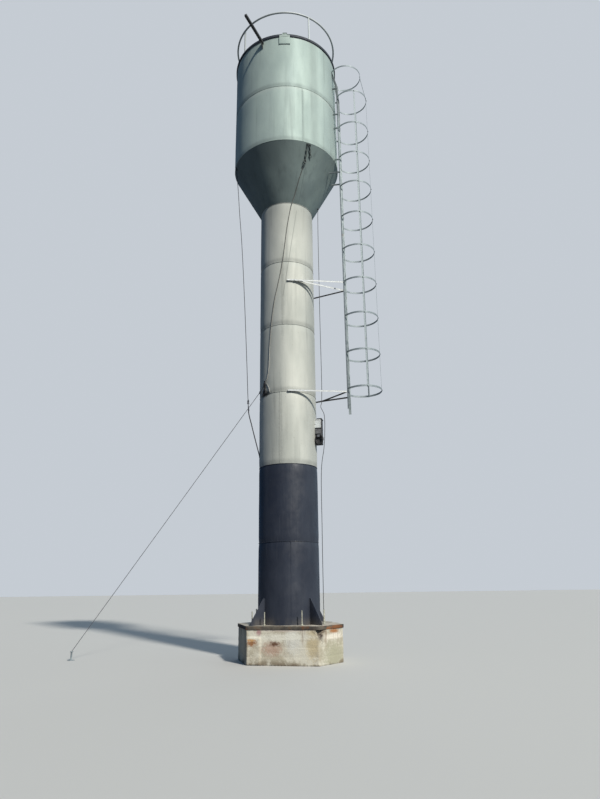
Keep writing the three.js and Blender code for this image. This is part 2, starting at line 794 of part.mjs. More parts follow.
addPiece('roof_rail', roofRail(), SILVER, 0.45, 0.5);
addPiece('lifting_lug_front', liftingLug(-91), SILVER, 0.45, 0.4);
addPiece('lifting_lug_rear', liftingLug(89), SILVER, 0.45, 0.4);
addPiece('outrigger', outrigger(), BARE_STEEL, 0.5, 0.5);
addPiece('ladder', ladder(), BARE_STEEL, 0.45, 0.6);
HOOP_LEVELS.forEach((level, i) => {
  addPiece(`cage_hoop_${i + 1}`, hoop(level), BARE_STEEL, 0.45, 0.6);
});
CAGE_BAR_ANGLES.forEach((degrees, i) => {
  addPiece(`cage_bar_${i + 1}`, cageBar(degrees), BARE_STEEL, 0.45, 0.6);
});
addPiece('upper_bracket', upperBracket(), BARE_STEEL, 0.45, 0.6);
addPiece('lower_bracket', lowerBracket(), BARE_STEEL, 0.45, 0.6);

addPiece('front_rope', frontRope(), ROPE_BROWN, 0.8, 0.2);
addPiece('rope_knot', ropeKnot(), ROPE_BROWN, 0.8, 0.2);
addPiece('side_rope', sideRope(), ROPE_BROWN, 0.8, 0.2);
addPiece('stay_rope', stayRope(), ROPE_BROWN, 0.8, 0.2);
addPiece('stay_stake', stayStake(), BARE_STEEL, 0.6, 0.5);
addPiece('hanging_cable', hangingCable(), CABLE_BLACK, 0.7, 0);
addPiece('switch_box', switchBox(), CABLE_BLACK, 0.5, 0.1);
addPiece('box_door', boxDoor(), BOX_WHITE, 0.5, 0.1);
addPiece('cable_coil', cableCoil(), CABLE_BLACK, 0.7, 0);

export default tower;
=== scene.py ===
from math import atan2, ceil, cos, hypot, pi, radians, sin

import bpy
from mathutils import Euler, Matrix, Vector


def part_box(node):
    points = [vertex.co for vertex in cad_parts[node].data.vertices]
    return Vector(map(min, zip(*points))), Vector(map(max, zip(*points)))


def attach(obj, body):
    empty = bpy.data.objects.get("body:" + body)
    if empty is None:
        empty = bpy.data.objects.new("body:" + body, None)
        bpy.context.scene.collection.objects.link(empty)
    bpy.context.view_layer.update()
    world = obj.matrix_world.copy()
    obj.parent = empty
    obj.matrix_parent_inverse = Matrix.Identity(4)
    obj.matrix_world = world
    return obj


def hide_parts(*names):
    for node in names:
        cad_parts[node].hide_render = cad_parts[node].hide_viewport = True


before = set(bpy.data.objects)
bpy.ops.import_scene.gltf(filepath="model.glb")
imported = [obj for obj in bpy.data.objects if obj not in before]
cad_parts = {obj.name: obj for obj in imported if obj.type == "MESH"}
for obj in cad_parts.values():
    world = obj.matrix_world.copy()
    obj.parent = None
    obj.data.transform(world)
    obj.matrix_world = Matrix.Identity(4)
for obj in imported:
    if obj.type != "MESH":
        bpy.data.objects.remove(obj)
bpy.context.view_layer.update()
bpy.ops.object.select_all(action="DESELECT")

# The view: someone stands 12 m in front of the tower with a wide-angle phone and tips it up,
# so that the whole column and tank fit into an upright picture.

CAMERA_PLACE = Vector((0.0, -12.278, 1.335))
CAMERA_TIP_UP = 17.315
CAMERA_TURN_RIGHT = 1.217
CAMERA_ROLL = -0.713
FOCAL_LENGTH_PX = 600.0
PHOTO_LONG_SIDE_PX = 799.0
SENSOR_WIDTH_MM = 36.0

camera_data = bpy.data.cameras.new("photo_view")
camera_data.sensor_width = SENSOR_WIDTH_MM
camera_data.lens = SENSOR_WIDTH_MM * FOCAL_LENGTH_PX / PHOTO_LONG_SIDE_PX
camera_data.clip_end = 400.0
camera = bpy.data.objects.new("photo_view", camera_data)
bpy.context.scene.collection.objects.link(camera)
aim = Euler((radians(90 + CAMERA_TIP_UP), 0, -radians(CAMERA_TURN_RIGHT))).to_matrix()
roll = Matrix.Rotation(radians(CAMERA_ROLL), 3, "Z")
camera.matrix_world = Matrix.Translation(CAMERA_PLACE) @ (aim @ roll).to_4x4()
bpy.context.scene.camera = camera

# The studio: a wide pale floor under the block, one soft sun from behind the camera and to its
# right, a weak fill behind the tower, and a pale surround, dimmer and bluer on the left.

FLOOR_SEEN = (0.56, 0.55, 0.52)
FLOOR_GLOW = (0.13, 0.13, 0.135)
SURROUND_SEEN = (0.66, 0.71, 0.77)
SURROUND_LEFT = (0.03, 0.08, 0.17)
SURROUND_RIGHT = (0.42, 0.54, 0.64)
SURROUND_STRENGTH = 0.85
SUN_SIDE = 31
SUN_HEIGHT = 38


def add_node(tree, kind, inputs=None, **settings):
    """Adds a shader node. Each input takes a plain value or another node's output."""
    node = tree.nodes.new(f"ShaderNode{kind}")
    for name, value in settings.items():
        setattr(node, name, value)
    for socket, value in (inputs or {}).items():
        if isinstance(value, bpy.types.NodeSocket):
            tree.links.new(value, node.inputs[socket])
        else:
            node.inputs[socket].default_value = value
    return node.outputs


def mix_tones(tree, amount, first, second):
    first, second = ((*tone, 1) if isinstance(tone, tuple) else tone for tone in (first, second))
    mixed = add_node(tree, "Mix", {"Factor": amount, "A": first, "B": second}, data_type="RGBA")
    return mixed["Result"]


def new_finish(name, roughness, metallic=0.0):
    finish = bpy.data.materials.new(name)
    finish.use_nodes = True
    shader = finish.node_tree.nodes["Principled BSDF"]
    shader.inputs["Roughness"].default_value = roughness
    shader.inputs["Metallic"].default_value = metallic
    return finish, finish.node_tree


bpy.context.scene.view_settings.view_transform = "Standard"

bpy.ops.mesh.primitive_plane_add(size=240, location=(0, 0, 0))
floor = bpy.context.object
floor.name = "studio_floor"
floor_finish, floor_tree = new_finish("pale_floor", 0.9)
floor_ray = add_node(floor_tree, "LightPath")["Is Camera Ray"]
floor_tone = mix_tones(floor_tree, floor_ray, FLOOR_GLOW, FLOOR_SEEN)
floor_tree.links.new(floor_tone, floor_tree.nodes["Principled BSDF"].inputs["Base Color"])
floor.data.materials.append(floor_finish)

for name, strength, spread, colour, turn in (
    ("soft_sun", 3.7, 4.5, (1.0, 0.965, 0.90), (90 - SUN_HEIGHT, 0, SUN_SIDE)),
    ("back_fill", 0.3, 40, (0.86, 0.93, 1.0), (48, 0, 165)),
):
    light = bpy.data.lights.new(name, "SUN")
    light.energy = strength
    light.angle = radians(spread)
    light.color = colour
    lamp = bpy.data.objects.new(name, light)
    lamp.rotation_euler = [radians(degrees) for degrees in turn]
    bpy.context.scene.collection.objects.link(lamp)

world = bpy.data.worlds.new("pale_surround")
bpy.context.scene.world = world
world.use_nodes = True
sky = world.node_tree
direction = add_node(sky, "TexCoord")["Generated"]
to_right = add_node(sky, "SeparateXYZ", {"Vector": direction})["X"]
sideways = add_node(sky, "MapRange", {"Value": to_right, "From Min": -0.6, "From Max": 0.9})
glow = mix_tones(sky, sideways["Result"], SURROUND_LEFT, SURROUND_RIGHT)
seen = mix_tones(sky, add_node(sky, "LightPath")["Is Camera Ray"], glow, SURROUND_SEEN)
backdrop = sky.nodes["Background"]
sky.links.new(seen, backdrop.inputs["Color"])
backdrop.inputs["Strength"].default_value = SURROUND_STRENGTH

# The foundation: a six-sided block of concrete, cast in a board form that left its lines and
# one proud ledge. Its front right corner is broken, and rust has run down from the plate.

BLOCK_CORNERS = (
    (0.52, -0.93), (1.0, -0.35), (0.78, 0.62), (-0.52, 0.93), (-1.0, 0.35), (-0.78, -0.62),
)
BLOCK_HEIGHT = 0.64
BOARD_LINES = (0.149, 0.305, 0.459)
LEDGE_PLACE = Vector((-0.645, -0.652, 0.229))
LEDGE_TURN = -13.4
BROKEN_CORNER = Vector((0.555, -0.895, 0.64))

# Each stain has its centre, its reach, its strength and its tone: cement, damp or rust; the ones
# marked below are painted light and painted shade.
STAINS = (
    ((0.06, -0.82, 0.40), (0.19, 0.25, 0.27), 0.8, (0.70, 0.69, 0.62)),
    ((0.40, -0.90, 0.36), (0.14, 0.25, 0.34), 0.6, (0.62, 0.50, 0.28)),
    ((-0.31, -0.75, 0.28), (0.24, 0.25, 0.15), 0.75, (0.47, 0.30, 0.22)),
    ((-0.26, -0.75, 0.36), (0.12, 0.25, 0.05), 0.95, (0.13, 0.06, 0.03)),
    ((-0.68, -0.66, 0.375), (0.13, 0.25, 0.075), 0.95, (0.30, 0.13, 0.045)),
    ((-0.70, -0.66, 0.42), (0.11, 0.25, 0.03), 0.9, (0.60, 0.33, 0.12)),
    ((-0.55, -0.68, 0.56), (0.06, 0.25, 0.09), 0.9, (0.46, 0.27, 0.26)),
    ((0.82, -0.58, 0.56), (0.15, 0.2, 0.055), 0.95, (0.40, 0.17, 0.06)),
    ((0.84, -0.58, 0.14), (0.38, 0.55, 0.34), 0.9, (0.42, 0.40, 0.275)),
    # Painted highlight: a pale line along the top of the board step, on the front and the right.
    ((-0.10, -0.80, 0.475), (0.80, 0.4, 0.075), 0.7, (0.86, 0.83, 0.71)),
    ((0.80, -0.62, 0.470), (0.38, 0.45, 0.065), 0.8, (0.92, 0.85, 0.72)),
    # Painted light on the left facet, which lies in shade.
    ((-0.89, -0.13, 0.30), (0.24, 0.6, 0.5), 0.85, (0.88, 0.76, 0.55)),
    ((-0.10, -0.80, 0.59), (0.62, 0.3, 0.035), 0.6, (0.60, 0.49, 0.43)),
    # Painted shade in the hollow of the broken corner, over a dark brown stain.
    ((0.56, -0.89, 0.62), (0.17, 0.17, 0.13), 1.0, (0.045, 0.03, 0.024)),
    ((0.565, -0.89, 0.52), (0.09, 0.12, 0.15), 1.0, (0.06, 0.042, 0.034)),
)


def grain(tree, scale, stretch=(1, 1, 1), detail=4.0, rough=0.55, shift=(0, 0, 0)):
    """Cloudy noise from 0 to 1, finer with a larger scale."""
    place = add_node(tree, "TexCoord")["Object"]
    moved = add_node(tree, "Mapping", {"Vector": place, "Scale": stretch, "Location": shift})
    return add_node(tree, "TexNoise", {
        "Vector": moved["Vector"], "Scale": scale, "Detail": detail, "Roughness": rough,
    })["Fac"]


def fade(tree, value, start, end, low=0.0, high=1.0):
    """Goes softly from low to high while the value goes from start to end."""
    return add_node(tree, "MapRange", {
        "Value": value, "From Min": start, "From Max": end, "To Min": low, "To Max": high,
    }, interpolation_type="SMOOTHSTEP")["Result"]


def sum_up(tree, kind, first, second):
    return add_node(tree, "Math", {0: first, 1: second}, operation=kind)["Value"]


def place_part(tree, axis):
    place = add_node(tree, "TexCoord")["Object"]
    return add_node(tree, "SeparateXYZ", {"Vector": place})[axis]


def stained(tree, centre, size, strength=1.0):
    """A stain with a ragged edge: strong round its centre, gone past its size."""
    place = add_node(tree, "TexCoord")["Object"]
    off = {"Vector": place, "Location": centre, "Scale": size}
    off = add_node(tree, "Mapping", off, vector_type="TEXTURE")["Vector"]
    span = add_node(tree, "VectorMath", {0: off}, operation="LENGTH")["Value"]
    edge = sum_up(tree, "MULTIPLY", grain(tree, 26, detail=5, rough=0.7), 1.7)
    return fade(tree, sum_up(tree, "ADD", span, edge), 1.95, 1.15, 0, strength)


def coat(finish, tone, height, depth, gloss=None):
    """Gives a finish its tone and its relief, whose depth is in metres."""
    tree = finish.node_tree
    shader = tree.nodes["Principled BSDF"]
    relief = add_node(tree, "Bump", {"Strength": 1.0, "Distance": depth, "Height": height})
    tree.links.new(tone, shader.inputs["Base Color"])
    tree.links.new(relief["Normal"], shader.inputs["Normal"])
    if gloss is not None:
        tree.links.new(gloss, shader.inputs["Roughness"])
    return finish


def settle(name, drawn_out=(1, 1, 1)):
    """Names the new shape and puts its place, turn and size into its mesh."""
    piece = bpy.context.object
    piece.scale = [size * factor for size, factor in zip(piece.scale, drawn_out)]
    bpy.ops.object.transform_apply(location=True, rotation=True, scale=True)
    piece.name = name
    piece.data.name = name
    return piece


def take_up(piece):
    """Leaves this piece alone selected and active."""
    bpy.ops.object.select_all(action="DESELECT")
    piece.select_set(True)
    bpy.context.view_layer.objects.active = piece


def pick(piece, kind, wanted):
    """Opens a piece for editing, with only the wanted corners, edges or faces selected."""
    take_up(piece)
    bpy.ops.object.mode_set(mode="EDIT")
    bpy.ops.mesh.select_mode(type=kind)
    bpy.ops.mesh.select_all(action="DESELECT")
    bpy.ops.object.mode_set(mode="OBJECT")
    mesh = piece.data
    if kind == "VERT":
        for corner in mesh.vertices:
            corner.select = wanted(corner.co, corner.normal)
    elif kind == "EDGE":
        for edge in mesh.edges:
            start, end = (mesh.vertices[i].co for i in edge.vertices)
            edge.select = wanted((start + end) / 2, end - start)
    else:
        for face in mesh.polygons:
            face.select = wanted(face.center, face.normal)
    bpy.ops.object.mode_set(mode="EDIT")


def close_up():
    bpy.ops.object.mode_set(mode="OBJECT")


def shift_part(piece, wanted, way):
    """Moves the wanted corners of a piece."""
    pick(piece, "VERT", wanted)
    bpy.ops.transform.translate(value=way)
    close_up()


def draw_in(piece, wanted, share):
    """Brings the wanted corners nearer to the column's axis."""
    pick(piece, "VERT", wanted)
    bpy.ops.transform.resize(value=(share, share, 1), center_override=(0, 0, 0))
    close_up()


def cut_rows(piece, cuts, wanted):
    """Divides the wanted edges, so that the surface between them can be shaped."""
    pick(piece, "EDGE", wanted)
    bpy.ops.mesh.subdivide(number_cuts=cuts)
    close_up()


def sink_face(piece, wanted, border, way):
    """Pushes the wanted face back inside a border, which stays where it is."""
    pick(piece, "FACE", wanted)
    bpy.ops.mesh.inset(thickness=border)
    bpy.ops.mesh.extrude_region_move(TRANSFORM_OT_translate={"value": way})
    close_up()


def apply_modifier(piece, kind, **settings):
    take_up(piece)
    modifier = piece.modifiers.new(kind.lower(), kind)
    for name, value in settings.items():
        setattr(modifier, name, value)
    bpy.ops.object.modifier_apply(modifier=modifier.name)


def roughen(piece, size, depth):
    """Moves the surface in and out by an uneven pattern, as cast, rolled or welded stuff is."""
    pattern = bpy.data.textures.new(f"{piece.name}_unevenness", "CLOUDS")
    pattern.noise_scale = size
    apply_modifier(piece, "DISPLACE", texture=pattern, strength=depth, texture_coords="LOCAL")


def smooth_up(piece, angle=30):
    take_up(piece)
    bpy.ops.object.shade_smooth_by_angle(angle=radians(angle))


def cut_block(name, place, size, turn=(0, 0, 0)):
    """A plain block of the given size at its place."""
    bpy.ops.mesh.primitive_cube_add(size=1, location=place, rotation=turn, scale=size)
    return settle(name)


def weld_together(name, *pieces):
    """Joins finished shapes into one piece."""
    take_up(pieces[0])
    for piece in pieces[1:]:
        piece.select_set(True)
    if len(pieces) > 1:
        bpy.ops.object.join()
    return settle(name)


def give(piece, finish, slot, *nodes):
    """Paints a finished piece, fixes it to the tower and lets it stand for its solids."""
    piece.data.materials.clear()
    piece.data.materials.append(finish)
    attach(piece, "root")
    if nodes:
        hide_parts(*nodes)


def six_sided(name, corners, low, high):
    """A six-cornered sheet, each corner drawn to its place, then raised to its full height."""
    bpy.ops.mesh.primitive_circle_add(vertices=6, radius=1, fill_type="NGON", location=(0, 0, low))
    block = settle(name)
    places = sorted(corners, key=lambda corner: atan2(corner[1], corner[0]))
    for corner in sorted(block.data.vertices, key=lambda corner: atan2(corner.co.y, corner.co.x)):
        corner.co = (*places.pop(0), low)
    pick(block, "FACE", lambda middle, facing: True)
    bpy.ops.mesh.extrude_region_move(TRANSFORM_OT_translate={"value": (0, 0, high - low)})
    bpy.ops.mesh.select_all(action="SELECT")
    bpy.ops.mesh.normals_make_consistent(inside=False)
    close_up()
    return block


def concrete_finish():
    finish, tree = new_finish("form_cast_concrete", 0.93)
    blotches = fade(tree, grain(tree, 3.2, detail=7, rough=0.66), 0.40, 0.60)
    tone = mix_tones(tree, blotches, (0.47, 0.42, 0.315), (0.71, 0.67, 0.55))
    boards = grain(tree, 5.0, stretch=(0.25, 0.25, 3.2), detail=3, shift=(3, 1, 0))
    tone = mix_tones(tree, fade(tree, boards, 0.5, 0.68, 0, 0.3), tone, (0.50, 0.44, 0.33))
    for centre, size, strength, stain in STAINS:
        tone = mix_tones(tree, stained(tree, centre, size, strength), tone, stain)
    height = place_part(tree, "Z")
    streaks = grain(tree, 9.0, stretch=(1, 1, 0.12), detail=3, shift=(1, 5, 0))
    run_down = fade(tree, streaks, 0.56, 0.7, 0, 0.7)
    tone = mix_tones(tree, sum_up(tree, "MULTIPLY", fade(tree, height, 0.2, 0.6), run_down),
                     tone, (0.19, 0.09, 0.04))
    soil = sum_up(tree, "ADD", height, sum_up(tree, "MULTIPLY", blotches, 0.1))
    tone = mix_tones(tree, fade(tree, soil, 0.12, 0.02, 0, 0.8), tone, (0.22, 0.17, 0.115))
    pits = sum_up(tree, "ADD", grain(tree, 60, detail=5), sum_up(tree, "MULTIPLY", boards, 0.6))
    return coat(finish, tone, pits, 0.006)


block = six_sided("cast_block", BLOCK_CORNERS, 0, BLOCK_HEIGHT)
bpy.ops.mesh.primitive_cone_add(
    vertices=5, radius1=0.012, radius2=0.155, depth=0.32,
    location=BROKEN_CORNER - Vector((0, 0, 0.10)), rotation=(radians(6), radians(-4), 0.7),
)
broken_off = settle("broken_off")
apply_modifier(block, "BOOLEAN", operation="DIFFERENCE", object=broken_off)
bpy.data.objects.remove(broken_off)
ledge = cut_block("ledge", LEDGE_PLACE, (0.244, 0.03, 0.455), (0, 0, radians(LEDGE_TURN)))
block = weld_together("cast_block", block, ledge)
apply_modifier(block, "REMESH", mode="VOXEL", voxel_size=0.0155)
for line in BOARD_LINES:
    pick(block, "VERT", lambda spot, facing: abs(spot.z - line) < 0.008 and abs(facing.z) < 0.3)
    bpy.ops.transform.shrink_fatten(value=-0.0025)
    close_up()
roughen(block, 0.24, 0.010)
roughen(block, 0.035, 0.004)
pick(block, "VERT", lambda spot, facing: spot.z < 0.007)
bpy.ops.transform.resize(value=(1, 1, 0), center_override=(0, 0, 0))
close_up()
smooth_up(block, 60)
give(block, concrete_finish(), "concrete", "foundation_block")

# The base plate: 20 mm steel cut to the block's outline, with a rim bent down over the block's
# edge. It has lost most of its primer, is rusty, and lies full of cement dust.

PLATE_TOP = 0.66
RIM_FOOT = 0.598
RIM_DEPTH = 0.0423
RIM_WALL = 0.009
PLATE_CORNERS = [(1.014 * x, 1.014 * y) for x, y in BLOCK_CORNERS]
RUSTY_PLACES = (((0.86, -0.5, 0.62), (0.16, 0.3, 0.05)), ((0.70, -0.72, 0.61), (0.1, 0.1, 0.04)))


def round_edges(piece, width, segments=2, **limit):
    apply_modifier(piece, "BEVEL", width=width, segments=segments, limit_method="ANGLE", **limit)


def plate_finish():
    finish, tree = new_finish("worn_base_plate", 0.75, 0.15)
    worn = fade(tree, grain(tree, 4.5, detail=6, rough=0.62), 0.38, 0.64)
    tone = mix_tones(tree, worn, (0.065, 0.055, 0.046), (0.15, 0.13, 0.10))
    rust = fade(tree, grain(tree, 7.0, detail=7, rough=0.7, shift=(4, 4, 1)), 0.5, 0.66, 0, 0.85)
    tone = mix_tones(tree, rust, tone, (0.17, 0.07, 0.028))
    facing = add_node(tree, "NewGeometry")["Normal"]
    upward = add_node(tree, "SeparateXYZ", {"Vector": facing})["Z"]
    lying = fade(tree, grain(tree, 8.0, detail=5, shift=(2, 9, 0)), 0.34, 0.58, 0.3, 0.95)
    dust = sum_up(tree, "MULTIPLY", fade(tree, upward, 0.6, 0.9), lying)
    tone = mix_tones(tree, dust, tone, (0.56, 0.51, 0.42))
    for centre, size in RUSTY_PLACES:
        tone = mix_tones(tree, stained(tree, centre, size, 0.8), tone, (0.30, 0.11, 0.035))
    return coat(finish, tone, grain(tree, 90, detail=4), 0.0012)


plate = six_sided("capping_plate", PLATE_CORNERS, RIM_FOOT, PLATE_TOP)
sink_face(plate, lambda middle, facing: facing.z < -0.9, RIM_WALL, (0, 0, RIM_DEPTH))
cut_rows(plate, 18, lambda middle, along: abs(along.z) < 0.001)
roughen(plate, 0.11, 0.005)
round_edges(plate, 0.003)
smooth_up(plate, 40)
give(plate, plate_finish(), "base_steel", "base_plate")

# The gussets: four triangles of 12 mm plate that stand on the base plate and brace the
# column's foot. They are welded down both sides and tarred with it.

GUSSET_ANGLES = (-50, -140, 130, 40)
GUSSET_TOE = 0.922
GUSSET_HEIGHT = 0.468
FILLET = 0.006
COLUMN_RADIUS = 0.6


def take_copy(pattern, name, placing=Matrix.Identity(4)):
    """A new piece with its own copy of another one's shape, moved to its place."""
    piece = bpy.data.objects.new(name, pattern.data.copy())
    bpy.context.scene.collection.objects.link(piece)
    piece.data.transform(placing)
    return piece


def merged_copy(node, name):
    """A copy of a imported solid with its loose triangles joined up, as the start of a piece."""
    piece = take_copy(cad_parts[node], name)
    piece.data.materials.clear()
    take_up(piece)
    bpy.ops.object.mode_set(mode="EDIT")
    bpy.ops.mesh.select_all(action="SELECT")
    bpy.ops.mesh.remove_doubles(threshold=0.00002)
    bpy.ops.mesh.dissolve_limited(angle_limit=radians(0.6))
    bpy.ops.object.mode_set(mode="OBJECT")
    return piece


def round_place(radius, degrees, height):
    return Vector((radius * cos(radians(degrees)), radius * sin(radians(degrees)), height))


def round_bar(name, radius, length, place, turn=(0, 0, 0), sides=20, ends="NGON"):
    """A round bar that stands on end until it is turned. Without ends it is a tube."""
    bpy.ops.mesh.primitive_cylinder_add(
        vertices=sides, radius=radius, depth=length, end_fill_type=ends, location=place,
        rotation=turn,
    )
    return settle(name)


def laid_bead(name, start, end, size):
    """A weld bead of uneven thickness from start to end."""
    run = end - start
    lie = run.to_track_quat("Z", "Y").to_euler()
    bead = round_bar(name, size, run.length, (start + end) / 2, lie, sides=8)
    cuts = min(100, ceil(run.length / (2 * size)))
    cut_rows(bead, cuts, lambda middle, along: along.length > 0.9 * run.length)
    roughen(bead, 3 * size, 0.7 * size)
    smooth_up(bead, 60)
    return bead


def bitumen_finish(name, roughness):
    finish, tree = new_finish(name, roughness)
    thick = fade(tree, grain(tree, 3.0, stretch=(1, 1, 0.35), detail=5), 0.35, 0.7)
    tone = mix_tones(tree, thick, (0.026, 0.031, 0.046), (0.041, 0.047, 0.064))
    drips = grain(tree, 14, stretch=(1, 1, 0.05), detail=3, shift=(2, 2, 0))
    tone = mix_tones(tree, fade(tree, drips, 0.58, 0.75, 0, 0.3), tone, (0.085, 0.09, 0.10))
    dust = fade(tree, place_part(tree, "Z"), 0.84, 0.66, 0, 0.4)
    tone = mix_tones(tree, sum_up(tree, "MULTIPLY", dust, thick), tone, (0.19, 0.16, 0.12))
    blotches = grain(tree, 6.0, detail=4, shift=(6, 0, 0))
    gloss = fade(tree, blotches, 0.3, 0.7, roughness - 0.08, roughness + 0.1)
    ripples = sum_up(tree, "ADD", grain(tree, 10, stretch=(1, 1, 0.3)),
                     sum_up(tree, "MULTIPLY", drips, 0.6))
    return coat(finish, tone, ripples, 0.004, gloss)


bitumen = bitumen_finish("bitumen_paint", 0.38)
for number, degrees in enumerate(GUSSET_ANGLES, 1):
    rib = merged_copy(f"gusset_{number}", f"braced_gusset_{number}")
    round_edges(rib, 0.0015)
    across = round_place(0.008, degrees + 90, 0)
    low = PLATE_TOP + 0.002
    beads = []
    for side in (-1, 1):
        foot = round_place(COLUMN_RADIUS + FILLET, degrees, low) + side * across
        toe = round_place(GUSSET_TOE, degrees, low) + side * across
        top = round_place(COLUMN_RADIUS + 0.003, degrees, PLATE_TOP + GUSSET_HEIGHT) + side * across
        beads.append(laid_bead("foot_bead", foot, toe, FILLET))
        beads.append(laid_bead("upright_bead", foot, top, FILLET))
    rib = weld_together(f"braced_gusset_{number}", rib, *beads)
    give(rib, bitumen, "bitumen", f"gusset_{number}")

# The anchor studs: threaded rods cast into the block, which stand up through the base plate
# beside the gussets. Each has a thick washer and a hexagon nut, zinc-plated, rust in places.

STUD_ANGLES = (-72, -30, -127, -158, 150, 112, 60, 22)
STUD_RING = 0.75
SHORT_STUDS = (3, 4, 6, 8)
STUD_RADIUS = 0.0115
THREAD_STEPS = 60


def plated_finish():
    finish, tree = new_finish("plated_studs", 0.55, 0.4)
    zinc = fade(tree, grain(tree, 45, detail=6, rough=0.7), 0.35, 0.65)
    tone = mix_tones(tree, zinc, (0.34, 0.33, 0.27), (0.56, 0.56, 0.47))
    rust = fade(tree, grain(tree, 12, detail=6, shift=(5, 5, 2)), 0.55, 0.66, 0, 0.85)
    tone = mix_tones(tree, rust, tone, (0.16, 0.075, 0.04))
    return coat(finish, tone, grain(tree, 160, detail=3), 0.001)


def threaded_stud(name, height):
    rod = round_bar(name, STUD_RADIUS, height, (0, 0, PLATE_TOP + height / 2), sides=12)
    cut_rows(rod, THREAD_STEPS - 1, lambda middle, along: abs(along.z) > 0.5 * height)
    step = height / THREAD_STEPS
    draw_in(rod, lambda spot, facing: round((spot.z - PLATE_TOP) / step) % 2 == 1, 0.84)
    washer = round_bar("washer", 0.034, 0.006, (0, 0, PLATE_TOP + 0.003), sides=24)
    nut = round_bar("nut", 0.025, 0.022, (0, 0, PLATE_TOP + 0.017), sides=6)
    stud = weld_together(name, rod, washer, nut)
    round_edges(stud, 0.0012, segments=1, angle_limit=1.0)
    smooth_up(stud, 35)
    return stud


plated = plated_finish()
long_stud = threaded_stud("long_stud", 0.26)
short_stud = threaded_stud("short_stud", 0.235)
for number, degrees in enumerate(STUD_ANGLES, 1):
    pattern = short_stud if number in SHORT_STUDS else long_stud
    turned = Matrix.Rotation(0.5 * (number - 1), 4, "Z")
    placing = Matrix.Translation(round_place(STUD_RING, degrees, 0)) @ turned
    give(take_copy(pattern, f"anchor_stud_{number}", placing), plated, "base_steel")
for pattern in (long_stud, short_stud):
    bpy.data.objects.remove(pattern)

# The column: six courses of 6 mm sheet, each rolled to a tube 1.2 m across and closed by one
# upright weld. Welding has drawn the sheet in at every ring seam. Two courses are tarred.

COURSE_HEIGHT = 1.5
UPRIGHT_WELD_ANGLES = (-86, 148, -105, 66, -99.6, 152)
TARRED_COURSES = 2
COLUMN_WALL = 0.006
SEAM_BEAD = 0.0065


def rolled_sheet(radius, low, high, wall, drawn_low=True, drawn_high=True):
    """One course: a tube of sheet, a little narrower where its edges are welded."""
    middle = (0, 0, (low + high) / 2)
    sheet = round_bar("sheet", radius, high - low, middle, sides=144, ends="NOTHING")
    cut_rows(sheet, 29, lambda middle, along: abs(along.z) > 0.5)
    roughen(sheet, 0.5, 0.006)
    for steps, pull in enumerate((0.0085, 0.0035, 0.0008)):
        rows = [low + 0.05 * steps] if drawn_low else []
        rows += [high - 0.05 * steps] if drawn_high else []
        draw_in(
            sheet, lambda spot, facing: any(abs(spot.z - row) < 0.001 for row in rows),
            (radius - pull) / radius,
        )
    apply_modifier(sheet, "SOLIDIFY", thickness=wall, offset=-1)
    smooth_up(sheet, 40)
    return sheet


def bent_ring(name, radius, thickness, place, steps, turn=(0, 0, 0), drawn_out=(1, 1, 1)):
    """A ring of round bar. Its steps are counted along the bar and round it."""
    bpy.ops.mesh.primitive_torus_add(
        major_radius=radius, minor_radius=thickness, major_segments=steps[0],
        minor_segments=steps[1], location=place, rotation=turn,
    )
    return settle(name, drawn_out)


def ring_bead(name, radius, height, size):
    bead = bent_ring(name, radius, size, (0, 0, height), (240, 8))
    roughen(bead, 3 * size, 0.8 * size)
    smooth_up(bead, 60)
    return bead


def upright_seam(radius, degrees, low, high):
    """The weld that closes a course."""
    return laid_bead(
        "upright_seam", round_place(radius - 0.003, degrees, low + 0.004),
        round_place(radius - 0.003, degrees, high - 0.004), SEAM_BEAD,
    )


def drawn_line(tree, top, foot, width, strength):
    """A narrow mark down a tube, between two places given as an angle and a height."""
    across, along, height = (place_part(tree, axis) for axis in "YXZ")
    bearing = sum_up(tree, "ARCTAN2", across, along)
    course = add_node(tree, "MapRange", {
        "Value": height, "From Min": foot[1], "From Max": top[1],
        "To Min": radians(foot[0]), "To Max": radians(top[0]),
    })["Result"]
    off = sum_up(tree, "ABSOLUTE", sum_up(tree, "SUBTRACT", bearing, course), 0)
    inside = sum_up(tree, "MULTIPLY", fade(tree, height, foot[1], foot[1] + 0.05),
                    fade(tree, height, top[1], top[1] - 0.05))
    return sum_up(tree, "MULTIPLY", fade(tree, off, width, 0.1 * width, 0, strength), inside)


def darkened_along(tree, tone, runs, shade_and_grime_tone):
    """Darkens a tone along an axis, more and more from each run's start to its end: grime in some
    places, painted shade in others.
    """
    for axis, start, end, strength in runs:
        amount = fade(tree, place_part(tree, axis), start, end, 0, strength)
        tone = mix_tones(tree, amount, tone, shade_and_grime_tone)
    return tone


